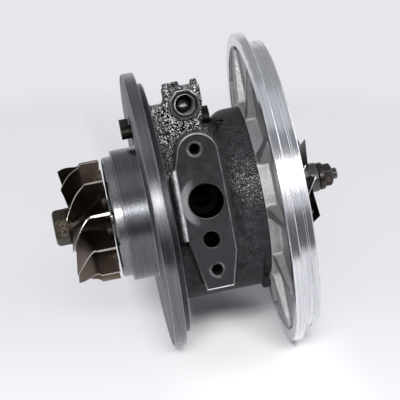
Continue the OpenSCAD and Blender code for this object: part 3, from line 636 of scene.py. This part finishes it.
def machine_holes(casting):
    holes = Solid()
    front = -PAD_Y - 1.0
    mouth = TAPPED_R + COUNTERSINK
    bottom = -PAD_Y + TAPPED_DEPTH
    for z in (UPPER_Z, LOWER_Z):
        holes.drill(PAD_X, z, [(0.0, front), (mouth + 1.0, front), (mouth, -PAD_Y),
                               (TAPPED_R, -PAD_Y + COUNTERSINK), (TAPPED_R, bottom), (0.0, bottom + 1.2)])
    seat = -PAD_Y + DRAIN_DEPTH
    drain = stepped([(DRAIN_R, front, seat), (DRAIN_WAY_R, seat, DRAIN_WAY_END)])
    holes.drill(DRAIN_X, DRAIN_Z, drain, 96)
    bottom = -PAD_Y + COOLANT_DEPTH
    r = COOLANT_R
    holes.drill(PAD_X, COOLANT_Z, [(0.0, front), (r, front), (r, bottom), (0.0, bottom + 1.5)])
    rear = REAR_Y + 1.0
    bottom = REAR_Y - COOLANT_DEPTH
    holes.drill(PAD_X, -COOLANT_Z, [(0.0, rear), (r, rear), (r, bottom), (0.0, bottom - 1.5)])
    front = BOSS_Y - 1.0
    r = INLET_R
    holes.drill(INLET_X, INLET_Z, [(0.0, front), (r + INLET_SINK + 1.0, front), (r, BOSS_Y + INLET_SINK),
                                   (r, INLET_BOTTOM), (0.0, INLET_BOTTOM + DRILL_POINT * r)])
    screw = stepped([(SCREW_POCKET_R, SCREW_POCKET_X, SCREW_SEAT_X),
                     (SCREW_BORE_R, SCREW_SEAT_X, HOUSING_LEN + 1.0)])
    for k in range(3):
        at = on_shaft(SCREW_CIRCLE, 0.0, SCREW_ANGLE + 120.0 * k)
        holes.turn(screw, 48, at=(at.y, at.z))
    crank = stepped([(CRANK_BORE_R, 1.0, CRANK_BUSH_END), (CRANK_SEAT_R, CRANK_BUSH_END, CRANK_SEAT_END)])
    holes.turn(crank, 48, at=(0.0, CRANK_Z))
    holes.cut(casting)


def in_bore(center, bores, room):
    """Whether a place lies in one of the bores, made wider by the room."""
    return any(hypot(center.x - x, center.z - z) < r + room for x, z, r, sink in bores)


def finish_casting(casting):
    """Gives the rear face, the inlet's bottom and the holes behind the pad and the boss their own finish; the
    holes get near-black painted shade.
    """
    hole_end = DRAIN_WAY_END + 0.5

    def finish(center, normal):
        if normal.y > 0.999 and center.y > REAR_Y - 0.02:
            return PAD_FACE
        # The inlet's drill point gets the dark gloss of painted shade
        if in_bore(center, BOSS_BORES, -0.05) and abs(center.y - INLET_BOTTOM) < DRILL_POINT * INLET_R:
            return SHADE_THREAD
        inside = in_bore(center, PAD_BORES + BOSS_BORES, 0.1)
        # Hole walls are painted near black as shade
        return HOLE_SHADE if inside and center.y < hole_end else IRON
    paint(casting, finish)
    crease(casting.data, CAST_CREASE)


casting = raw_casting()
cast_skin(casting, 7)
machine_planes(casting)
main_bore(casting)
machine_holes(casting)
finish_casting(casting)


def drilled_cap(name, outline, y0, y1, width, bores, sides, face, sunk):
    """A crisp plate on the casting, with a milled face, a broken edge round it and countersunk holes."""
    rings = [(offset(outline, -width), y0), (outline, y0 + width), (outline, y1)]
    plate = Solid()
    plate.take(*loft([[(x, y, z) for x, z in ring] for ring, y in rings]))
    obj = plate.make(name, [IRON, face, EDGE, HOLE_SHADE, sunk], FINE_CREASE)
    holes = Solid()
    front, back = y0 - 1.0, y1 + 1.0
    for x, z, r, sink in bores:
        profile = [(0.0, front), (r + sink + 1.0, front), (r, y0 + sink), (r, back), (0.0, back)]
        holes.drill(x, z, profile, sides)
    holes.cut(obj)

    def finish(center, normal):
        if normal.y < -0.95:
            return face
        inside = in_bore(center, bores, COUNTERSINK)
        if normal.y < -0.3:
            return sunk if inside else EDGE
        # Hole walls are painted near black as shade
        return HOLE_SHADE if inside else IRON
    paint(obj, finish)
    crease(obj.data, FINE_CREASE)
    return obj


def pad_flank():
    """The rounded flank beside the drain, between the pad's face and the flange, slanted at its upper end."""
    left = PAD_LEFT
    wide, deep, slant = 2.9, 1.7, 0.9
    foot = FLANK_R - PAD_Y + 1.0
    bulge = [(left + wide * x, deep - PAD_Y + deep * y) for x, y in arc(0.0, 0.0, 1.0, 180.0, 272.0, 24)]
    outline = bulge + [(left + 0.3, foot), (left - wide, foot)]
    bottom = [(x, y, FLANK_BOTTOM) for x, y in outline]
    top = [(x, y, FLANK_TOP - slant * max(0.0, left - x)) for x, y in outline]
    flank = Solid()
    flank.take(*loft([bottom, top]))
    return flank.make("pad_flank", [FLANK], PLAIN_CREASE)


def saw(turns):
    """A wave between 0 and 1 that rises and falls once in a turn."""
    return abs(2.0 * (turns - floor(turns + 0.5)))


def tapped_threads():
    """The threads in the oil inlet and in the pad's two tapped holes, as sleeves in those holes; the pad's
    are dark with painted shade.
    """
    sleeves = Solid()
    holes = [(INLET_X, INLET_Z, BOSS_Y + 1.0, -10.0, INLET_R, 1.25, 0.55)]
    holes += [(PAD_X, z, COUNTERSINK - PAD_Y, 9.0 - PAD_Y, TAPPED_R, 1.0, 0.4) for z in (UPPER_Z, LOWER_Z)]
    for mark, (x, z, y0, y1, r, pitch, depth) in enumerate(holes):
        count = round((y1 - y0) / pitch * 6)
        inner = [(r, mix(y0, y1, i / count)) for i in range(count + 1)]
        outer = [(r + 0.4, y1), (r + 0.4, y0)]

        def groove(radius, y, angle, r=r, pitch=pitch, depth=depth):
            return radius - depth * saw(y / pitch - angle / 360.0) if radius == r else radius
        sleeves.drill(x, z, inner + outer, 48, min(mark, 1), groove)
    return sleeves.make("housing_threads", [INLET_THREAD, SHADE_THREAD], LATHE_CREASE)


threads = tapped_threads()
caps = [
    drilled_cap("pad_cap", pad_outline(), -PAD_Y, CAP_DEPTH - PAD_Y, PAD_EDGE, PAD_BORES, 96,
                PAD_FACE, SUNK),
    pad_flank(),
    drilled_cap("boss_cap", boss_outline(), BOSS_Y, BOSS_FOOT - BLOCK_FRONT, BOSS_EDGE, BOSS_BORES, 64,
                BOSS_FACE, SHADE_THREAD),
]


# Bearing housing: the machined flange and collar

def flange():
    c = CHAMFER
    m = 0.3 * c
    lip = -PILOT_LEN
    nose = lip - SPIGOT_LEN
    profile = [(SEAL_BORE_R, nose), (SPIGOT_R - c, nose), (SPIGOT_R, nose + c), (SPIGOT_R, lip),
               (PILOT_R - c, lip), (PILOT_R - m, lip + m), (PILOT_R, lip + c),
               (PILOT_R, -c), (PILOT_R + m, -m), (PILOT_R + c, 0.0),
               (FLANGE_R - c, 0.0), (FLANGE_R - m, m), (FLANGE_R, c),
               (FLANGE_R, FLANGE_T - c), (FLANGE_R - m, FLANGE_T - m), (FLANGE_R - c, FLANGE_T),
               (STEP_R + c, FLANGE_T), (STEP_R, FLANGE_T + c), (STEP_R, WEB_X - c), (STEP_R - c, WEB_X),
               (FLANGE_BORE_R, WEB_X), (FLANGE_BORE_R, SEAL_WALL_X), (SEAL_BORE_R, SEAL_WALL_X)]
    ring = Solid()
    ring.turn(profile, 256)
    finishes = [MACHINED, FLANGE_FACE, RUBBED_EDGE, IRON, STEP_IRON, FLANGE_RIM]
    obj = ring.make("housing_flange", finishes, FINE_CREASE)
    hole = Solid()
    crank = stepped([(ARM_ROOM, -3.0, CRANK_RECESS), (CRANK_BORE_R, CRANK_RECESS, 12.0)])
    hole.turn(crank, 64, at=(0.0, CRANK_Z))
    hole.cut(obj)
    crease(obj.data, FINE_CREASE)

    def finish(center, normal):
        r = hypot(center.y, center.z)
        if r > PILOT_R - 1.0 and 0.2 < abs(normal.x) < 0.98:
            return RUBBED_EDGE
        if center.x > WEB_X - c and r < STEP_R - c:
            return IRON
        if center.x > FLANGE_T - c and r < STEP_R + c:
            return STEP_IRON
        if r > FLANGE_R - c:
            return FLANGE_RIM
        return FLANGE_FACE if normal.x < -0.9 and r > PILOT_R else MACHINED
    paint(obj, finish)
    return obj


housing_flange = flange()


# Wheels

def blade_shell(root, tip, turn, thick, rows, cols):
    """One blade as a closed grid, its outer edges marked 1.

    root and tip are curves of t, and turn is the angle at a radius, a station and t.
    """
    verts = []
    for side in (-1, 1):
        for i in range(rows + 1):
            t = i / rows
            a, b = root(t), tip(t)
            for j in range(cols + 1):
                s = j / cols
                r, x = mix(a[0], b[0], s), mix(a[1], b[1], s)
                half = degrees(thick(s, t) / 2 / r)
                verts.append((r, x, turn(r, x, t) + side * half))
    count = (rows + 1) * (cols + 1)

    def at(side, i, j):
        return side * count + i * (cols + 1) + j
    faces, marks = [], []
    for i in range(rows):
        for j in range(cols):
            quad = [at(0, i, j), at(0, i + 1, j), at(0, i + 1, j + 1), at(0, i, j + 1)]
            faces += [tuple(quad[::-1]), tuple(v + count for v in quad)]
            marks += [0, 0]
    for i in range(rows):
        for j, mark in ((0, 0), (cols, 1)):
            quad = (at(0, i, j), at(0, i + 1, j), at(1, i + 1, j), at(1, i, j))
            faces.append(quad if j == 0 else quad[::-1])
            marks.append(mark)
    for j in range(cols):
        for i in (0, rows):
            quad = (at(0, i, j), at(0, i, j + 1), at(1, i, j + 1), at(1, i, j))
            faces.append(quad[::-1] if i == 0 else quad)
            marks.append(1)
    return verts, faces, marks


def add_blades(wheel, shell, first, count):
    verts, faces, marks = shell
    for k in range(count):
        turn = first + 360.0 * k / count
        wheel.take([on_shaft(r, x, a + turn) for r, x, a in verts], faces, marks)


def turbine_wheel():
    """Scalloped hub, hexagonal nose and blades."""
    sink, lean, first = 0.8, 0.85, -10.0
    hub_arc = DISC_R - TURBINE_HUB_R
    arc_x = WHEEL_BACK - DISC_T - hub_arc

    def root(t):
        a = radians(90 + 90 * t)
        reach = hub_arc + sink
        return (DISC_R + reach * cos(a) + (INDUCER_R - DISC_R) * (1 - t) ** 3,
                max(arc_x + reach * sin(a) + lean * (1 - t) ** 4, EXDUCER_X))

    def tip(t):
        return EXDUCER_R + (INDUCER_R - EXDUCER_R) * (1 - t) ** 12, mix(INDUCER_X, EXDUCER_X, t)

    def turn(r, x, t):
        return TURBINE_WRAP * max(0.0, (INDUCER_X - x) / (INDUCER_X - EXDUCER_X)) ** 1.6

    def thick(s, t):
        lead = min(1.0, t / 0.3)
        foot = 1.6 * lead * max(0.0, 1 - s / 0.2) ** 2
        return mix(mix(1.0, 1.7, lead), 0.72, s) + foot

    def scallop(r, x, angle):
        pitch = 360.0 / TURBINE_BLADES
        off = radians((angle - first) % pitch - pitch / 2)
        middle = DISC_R + SCALLOP_OUT
        inside = SCALLOP_R ** 2 - (middle * sin(off)) ** 2
        if inside <= 0 or x < arc_x:
            return r
        return min(r, middle * cos(off) - sqrt(inside))

    wheel = Solid()
    lowest = degrees(asin((EXDUCER_X - arc_x) / hub_arc))
    hub = [(0.0, WHEEL_BACK), (DISC_R, WHEEL_BACK), (DISC_R, WHEEL_BACK - DISC_T)]
    hub += arc(DISC_R, arc_x, hub_arc, 90.0, 180.0 - lowest, 24)[1:] + [(0.0, EXDUCER_X)]
    wheel.turn(hub, 24 * TURBINE_BLADES, 3, shape=scallop)
    end = EXDUCER_X - NOSE_LEN
    foot = EXDUCER_X + 1.0
    nose = [(0.0, end), (NOSE_R - 1.6, end), (NOSE_R - 0.5, end + 0.5), (NOSE_R, end + 1.6), (NOSE_R, foot),
            (0.0, foot)]
    verts, faces = turned_points(nose, 6)
    flip = Matrix.Rotation(radians(30.0), 3, "X")
    wheel.take([flip @ v for v in verts], faces, 2)
    add_blades(wheel, blade_shell(root, tip, turn, thick, 40, 14), first, TURBINE_BLADES)
    finishes = [TURBINE_SKIN, TURBINE_EDGE, TURBINE_HUB, TURBINE_ROOT]
    obj = wheel.make("turbine_wheel_cast", finishes, WHEEL_CREASE)
    crease(obj.data, WHEEL_CREASE)
    return obj


def compressor_wheel():
    """Hub and disc, with long blades and short ones between them."""
    sink, width, first = 0.6, 3.3, -7.0
    blade_r = COMPRESSOR_R - 0.25
    front = DISC_BACK + 2.3

    def eye_arc(outer, inner, low, t):
        a = radians(90 * t)
        return outer - (outer - inner) * cos(a), EYE_X - (EYE_X - low) * sin(a)

    def turn_at(t):
        return COMPRESSOR_WRAP * (0.65 * (1 - (1 - t) ** 2) + 0.35 * t ** 3)

    def shell(start):
        def along(t):
            return mix(start, 1.0, t)

        def thick(s, t):
            return mix(1.2, 0.65, s) + 1.1 * max(0.0, 1 - s / 0.25) ** 2
        return blade_shell(lambda t: eye_arc(blade_r, EYE_HUB_R - sink, front - sink, along(t)),
                           lambda t: eye_arc(blade_r, EYE_R, front + width, along(t)),
                           lambda r, x, t: turn_at(along(t)), thick, 36, 12)
    wheel = Solid()
    bore = STUB_R + 0.02
    hub = [(bore, WHEEL_END), (EYE_HUB_R - 0.8, WHEEL_END), (EYE_HUB_R - 0.2, WHEEL_END - 0.3),
           (EYE_HUB_R, WHEEL_END - 1.0)]
    hub += [eye_arc(COMPRESSOR_R, EYE_HUB_R, front, i / 24) for i in range(25)]
    hub += [(COMPRESSOR_R, DISC_BACK + 0.6), (8.0, DISC_BACK), (bore, DISC_BACK)]
    wheel.turn(hub, 128, 2)
    pitch = 360.0 / COMPRESSOR_BLADES
    add_blades(wheel, shell(0.02), first, COMPRESSOR_BLADES)
    add_blades(wheel, shell(0.3), first + pitch / 2, COMPRESSOR_BLADES)
    obj = wheel.make("compressor_wheel_cast", [WHEEL_SKIN, WHEEL_EDGE, WHEEL_HUB], WHEEL_CREASE)
    crease(obj.data, WHEEL_CREASE)
    return obj


turbine = turbine_wheel()
compressor = compressor_wheel()


# Shaft and nut

def rotor_shaft():
    """The ground shaft, painted near black as shade between its bushes, with a thread at the nut."""
    pitch, depth = 0.8, 0.42
    thread_x = WHEEL_END + 1.0
    groove_x, groove_end, root_x, journal_x, waist_end = -8.0, -6.7, -1.0, 3.0, 24.39
    shade_x, shade_end = 14.0, 28.0
    rows = [(SEAL_R, WHEEL_BACK, groove_x), (SEAL_R - 1.3, groove_x, groove_end),
            (SEAL_R, groove_end, root_x), (JOURNAL_R + 2.0, root_x, journal_x),
            (JOURNAL_R, journal_x, OIL_ROOM_X), (JOURNAL_R - 0.3, OIL_ROOM_X, waist_end)]
    profile = stepped(rows)[:-1] + [(JOURNAL_R, x) for x in (waist_end, shade_end, COLLAR_X)]
    profile += [(STUB_R, COLLAR_X), (STUB_R, thread_x)]
    count = round((SHAFT_END - thread_x) / pitch * 8)
    profile += [(STUB_R, mix(thread_x, SHAFT_END - 0.4, i / count)) for i in range(1, count + 1)]
    profile += [(STUB_R - 0.5, SHAFT_END), (0.0, SHAFT_END)]

    def groove(r, x, angle):
        if r != STUB_R or x <= thread_x:
            return r
        return r - depth * saw(x / pitch - angle / 360.0)
    shaft = Solid()
    shaft.turn(profile, 64, shape=groove)
    obj = shaft.make("rotor_shaft_ground", [GROUND, SHADE_STEEL, THREAD], LATHE_CREASE)

    def finish(center, normal):
        if center.x > thread_x:
            return THREAD
        # Painted shade: the shaft between the bushes, seen through the drain, is near black
        return SHADE_STEEL if shade_x < center.x < shade_end else GROUND
    paint(obj, finish)
    return obj


def shaft_nut():
    """A nut with a round flange and twelve points: two hexagons laid over each other."""
    flat = NUT_R * cos(radians(30.0))
    top = WHEEL_END + NUT_LEN
    seat = WHEEL_END + NUT_FLANGE_LEN
    cone = 3.7

    def points(r, x, angle):
        if r != NUT_R:
            return r
        off = abs((angle + 30.0) % 60.0 - 30.0)
        star = flat / cos(radians(max(off, 30.0 - off)))
        return min(star, cone + (top - x) * 1.2)
    bore = STUB_R + 0.02
    profile = [(bore, WHEEL_END), (NUT_FLANGE_R - 0.3, WHEEL_END), (NUT_FLANGE_R, WHEEL_END + 0.3),
               (NUT_FLANGE_R, seat - 0.9), (NUT_FLANGE_R - 0.3, seat - 0.3), (NUT_FLANGE_R - 0.8, seat)]
    profile += [(NUT_R, x) for x in (seat, seat + 1.2, top - 0.8, top - 0.4, top)]
    profile += [(bore + 0.5, top), (bore, top - 0.5)]
    nut = Solid()
    nut.turn(profile, 144, shape=points)
    return nut.make("shaft_nut_forged", [NUT], NUT_CREASE)


shaft = rotor_shaft()
nut = shaft_nut()


# Backplate: the ribbed casting and what the lathe turned in front of it

def rib(rough, angle):
    """One tapered rib from the hub to the rim, in a half plane at the angle below the pad's side."""
    across = on_shaft(1.0, 0.0, angle + 90.0)
    front = WEB_BACK + 0.6
    ends = [(HUB_R - 2.0, HOUSING_LEN + RIB_STEP, RIB_ROOT), (RECESS_R + 0.6, RIM_X + RIB_STEP, RIB_TIP)]
    verts = [on_shaft(r, x, angle) + across * side * width / 2
             for r, back, width in ends for x in (back, front) for side in (-1, 1)]
    rough.take(verts, [(0, 1, 3, 2), (4, 6, 7, 5), (0, 4, 5, 1), (2, 3, 7, 6), (0, 2, 6, 4), (1, 5, 7, 3)])


def backplate_casting():
    """Hub, web and ribs as cast, with soft corners, faced where the drum joins it."""
    rough = Solid()
    wall = RECESS_R - 0.2
    spare = 1.0
    back = RIM_X + 0.25
    front = WEB_BACK + 1.6
    rough.turn([(0.0, HOUSING_LEN - spare), (HUB_R, HOUSING_LEN - spare), (HUB_R, WEB_BACK), (wall, WEB_BACK),
                (wall, back), (wall + 2.4, back), (wall + 2.4, front), (0.0, front)])
    for k in range(RIB_COUNT):
        rib(rough, FIRST_RIB + 360.0 * k / RIB_COUNT)
    obj = rough.make("backplate_casting", [BACK_METAL])
    cast_skin(obj, 8)
    cutter = Solid()
    cutter.turn(stepped([(HUB_R + 4.0, 30.0, HOUSING_LEN), (SLINGER_ROOM, HOUSING_LEN, SLINGER_END),
                         (PLATE_BORE, SLINGER_END, 60.0)]), 96)
    cutter.cut(obj)
    crease(obj.data, CAST_CREASE)
    return obj


def rounded(corners):
    """A closed profile from rows of radius, station and the length by which the corner there is broken."""
    places = [Vector(corner[:2]) for corner in corners]
    profile = []
    for i, (r, x, broken) in enumerate(corners):
        here = places[i]
        if broken:
            a = here + (places[i - 1] - here).normalized() * broken
            b = here + (places[(i + 1) % len(places)] - here).normalized() * broken
            profile += [tuple(a), tuple((a + b) * 0.35 + here * 0.3), tuple(b)]
        else:
            profile.append((r, x))
    return profile


def backplate_turned():
    """Rim, spigot and front face, turned in one setting."""
    inner = RECESS_R + 0.3
    web = WEB_BACK + 1.3
    bottom = SEAT_R - GROOVE_DEPTH
    groove_end = GROOVE_X + GROOVE_W
    rim, seat, groove = 0.45, 0.25, 0.2
    corners = [(inner, RIM_X, 0), (RIM_R, RIM_X, rim), (RIM_R, SEAT_X, rim), (SEAT_R, SEAT_X, seat),
               (SEAT_R, GROOVE_X, groove), (bottom, GROOVE_X, 0), (bottom, groove_end, 0),
               (SEAT_R, groove_end, groove), (SEAT_R, BACKPLATE_END, rim), (WHEEL_ROOM_R, BACKPLATE_END, rim),
               (WHEEL_ROOM_R, WHEEL_ROOM_X, 0), (PLATE_BORE, WHEEL_ROOM_X, 0), (PLATE_BORE, web, 0),
               (inner, web, 0)]
    plate = Solid()
    plate.turn(rounded(corners), 288)
    joint = HOUSING_LEN + 0.5
    plate.turn([(SLINGER_ROOM, JOINT_SPIGOT_X), (JOINT_SPIGOT_R, JOINT_SPIGOT_X), (JOINT_SPIGOT_R, joint),
                (SLINGER_ROOM, joint)], 96)
    obj = plate.make("backplate_turned", [RIM_METAL, EDGE], LATHE_CREASE)
    paint(obj, lambda center, normal: EDGE if 0.2 < abs(normal.x) < 0.98 else RIM_METAL)
    return obj


plate_casting = backplate_casting()
plate_turned = backplate_turned()
for name, finish in NODE_FINISH.items():
    mesh = NODES[name].data
    mesh.materials.clear()
    mesh.materials.append(finish)
    crease(mesh, PLAIN_CREASE)
heat_shield = NODES["turbine_heat_shield"]
# Painted shade: the shield's face towards the turbine wheel is near black, so the gap between them reads dark
heat_shield.data.materials.append(GAP_SHADE)
to_frame = heat_shield.matrix_world.to_3x3()
paint(heat_shield, lambda center, normal: GAP_SHADE if (to_frame @ normal).normalized().x < -0.8 else SHIELD)

RIDES = [
    (casting, "housing", "cast_housing", "bearing_housing"),
    (housing_flange, "housing", "cast_housing", "bearing_housing"),
    (turbine, "rotor", "turbine_alloy", "turbine_wheel"),
    (compressor, "rotor", "wheel_aluminium", "compressor_wheel"),
    (shaft, "rotor", "ground_steel", "rotor_shaft"),
    (nut, "rotor", "nut_steel", "shaft_nut"),
    (threads, "housing", "cast_housing", None),
    (plate_casting, "housing", "backplate_aluminium", "compressor_backplate"),
    (plate_turned, "housing", "backplate_aluminium", "compressor_backplate"),
] + [(cap, "housing", "cast_housing", "bearing_housing") for cap in caps]
for obj, body, slot, node in RIDES:
    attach(obj, body)
    if node:
        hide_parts(node)


# Stage: floor, lights, camera

CENTER = (0.0222, 0.0, 0.0)
BACKGROUND = rgb(0.79, 0.79, 0.83)
FLOOR_ROLL = 11.0


def floor_frame():
    """The plane that both rims lie on, turned about the shaft as the part lies in the photograph."""
    slope = atan((RIM_R - FLANGE_R) / RIM_X)
    roll = radians(FLOOR_ROLL)
    up = Vector((sin(slope), -cos(slope) * sin(roll), cos(slope) * cos(roll)))
    return up, -FLANGE_R * cos(slope)


def oblong(half, a, b):
    """Four corners, half to each side of zero and from a to b."""
    return [(-half, a), (half, a), (half, b), (-half, b)]


def make_floor():
    """Pale paper that keeps the shadow between the discs, glows with a painted pool of light in front, and
    runs into the background farther away.
    """
    up, height = floor_frame()
    side = up.cross(Vector((0.0, 1.0, 0.0))).normalized()
    ahead = up.cross(side).normalized()
    center = up * height
    reach = 4000.0
    verts = [center + side * a + ahead * b for a, b in oblong(reach, -reach, reach)]
    g = surface("pale_floor")
    where = g.place()
    paper = g.noise(where, 30.0, 2.0)
    tone = g.blend(paper, rgb(0.88, 0.88, 0.91), rgb(0.9, 0.9, 0.93))
    g.shade(tone, 0.0, 0.9, specular=0.0)
    lit = g.out.inputs["Surface"].links[0].from_socket
    part = g.axes(where)
    far = g.add("VectorMath", {0: where}, operation="LENGTH").outputs["Value"]
    # Painted light: the glow is brighter in front of the object and near it
    near = g.math("MULTIPLY", g.span(part["Y"], 0.06, -0.05), g.span(far, 0.7, 0.22))
    glow_and_light_pool = g.blend(near, BACKGROUND, rgb(0.92, 0.92, 0.95))
    paper_light = g.add("Emission", {"Color": glow_and_light_pool}).outputs["Emission"]
    most = 0.85
    left = g.span(part["X"], 0.014, -0.012, 0.0, most)
    right = g.span(part["X"], 0.05, 0.075, 0.0, most)
    # Beside the discs and far off, the glow covers the cast shadows
    bare = g.math("MAXIMUM", g.math("MAXIMUM", left, right), g.span(far, 0.12, 0.5))
    share = g.math("MULTIPLY", background_rays(g), bare)
    g.end(g.add("MixShader", {0: share, 1: lit, 2: paper_light}))
    return piece("floor", verts, [(0, 1, 2, 3)], [g.owner])


def background_rays(g):
    """1 for the rays that see the background: from the camera, off metal and through glass."""
    rays = g.add("LightPath").outputs
    glossy = g.math("MAXIMUM", rays["Is Glossy Ray"], rays["Is Transmission Ray"])
    return g.math("MAXIMUM", rays["Is Camera Ray"], glossy)


def on_floor(x, y, lift):
    up, height = floor_frame()
    return Vector((x, y, (height - up.x * x - up.y * y) / up.z + lift))


def card(name, corners, tone, strength=1.0):
    """A glowing sheet of the studio that only metal sees, from its four corners in millimetres."""
    g = surface(name)
    cloud = g.blend(g.noise(g.place(), 2.5), scaled(tone, 0.9), tone)
    g.end(g.add("Emission", {"Color": cloud, "Strength": strength}))
    sheet = piece(name, corners, [(0, 1, 2, 3)], [g.owner])
    sheet.visible_camera = sheet.visible_diffuse = sheet.visible_shadow = False


def make_cards():
    """What the turned metal mirrors: a strip light in a dim room, a paler ceiling and a dark table edge."""
    room = -1170.0
    strip = [(x, room, z) for x, z in oblong(500.0, 145.0, 345.0)]
    card("strip_light", strip, rgb(1.0, 0.99, 0.97), 15.0)
    card("dim_wall", [(x, room, z) for x, z in oblong(1100.0, 520.0, 1250.0)], rgb(0.3, 0.3, 0.33))
    top, lift = 900.0, 2.0
    ceilings = (("front_ceiling", -900.0, -150.0, 0.75), ("rear_ceiling", -150.0, 1300.0, 0.48))
    for name, near, far, level in ceilings:
        card(name, [(x, y, top) for x, y in oblong(1500.0, near, far)], grey(level, 0.06))
    edge = [on_floor(x, y, lift) for x, y in oblong(900.0, -1600.0, -115.0)]
    card("table_edge", edge, rgb(0.16, 0.16, 0.18))


make_floor()
make_cards()


def lamp(name, place, target, width, height, watts, color):
    data = bpy.data.lights.new(name, "AREA")
    data.shape = "RECTANGLE"
    data.size, data.size_y = width, height
    data.energy = watts
    data.color = color
    obj = new_object(name, data)
    obj.location = place
    obj.rotation_euler = (Vector(target) - Vector(place)).to_track_quat("-Z", "Y").to_euler()
    return obj


key = lamp("key_light", (0.03, -1.1, 0.41), CENTER, 0.6, 0.24, 23.0, (1.0, 0.99, 0.97))
key.visible_glossy = False
lamp("side_light", (1.1, -0.5, 0.5), CENTER, 0.5, 0.8, 3.0, (0.97, 0.98, 1.0))


def make_world():
    world = bpy.data.worlds.new("studio")
    bpy.context.scene.world = world
    g = Graph(world, "OutputWorld")
    light = g.add("Background", {"Color": rgb(0.13, 0.13, 0.145)}).outputs["Background"]
    seen = g.add("Background", {"Color": BACKGROUND}).outputs["Background"]
    g.end(g.add("MixShader", {0: background_rays(g), 1: light, 2: seen}))


make_world()


def make_camera():
    """The photograph's view: a long lens a little above the shaft, rolled so that it rises to the right."""
    azimuth, elevation, roll = radians(-4.4), radians(6.0), radians(10.84)
    distance = 0.673
    data = bpy.data.cameras.new("camera")
    data.sensor_width, data.lens = 36.0, 148.5
    level = cos(elevation)
    back = Vector((sin(azimuth) * level, -cos(azimuth) * level, sin(elevation)))
    turn = back.to_track_quat("Z", "Y").to_matrix().to_4x4() @ Matrix.Rotation(-roll, 4, "Z")
    obj = new_object("camera", data)
    obj.matrix_world = Matrix.Translation(Vector(CENTER) + back * distance) @ turn
    bpy.context.scene.camera = obj


make_camera()
bpy.context.scene.view_settings.view_transform = "Standard"
bpy.context.view_layer.update()
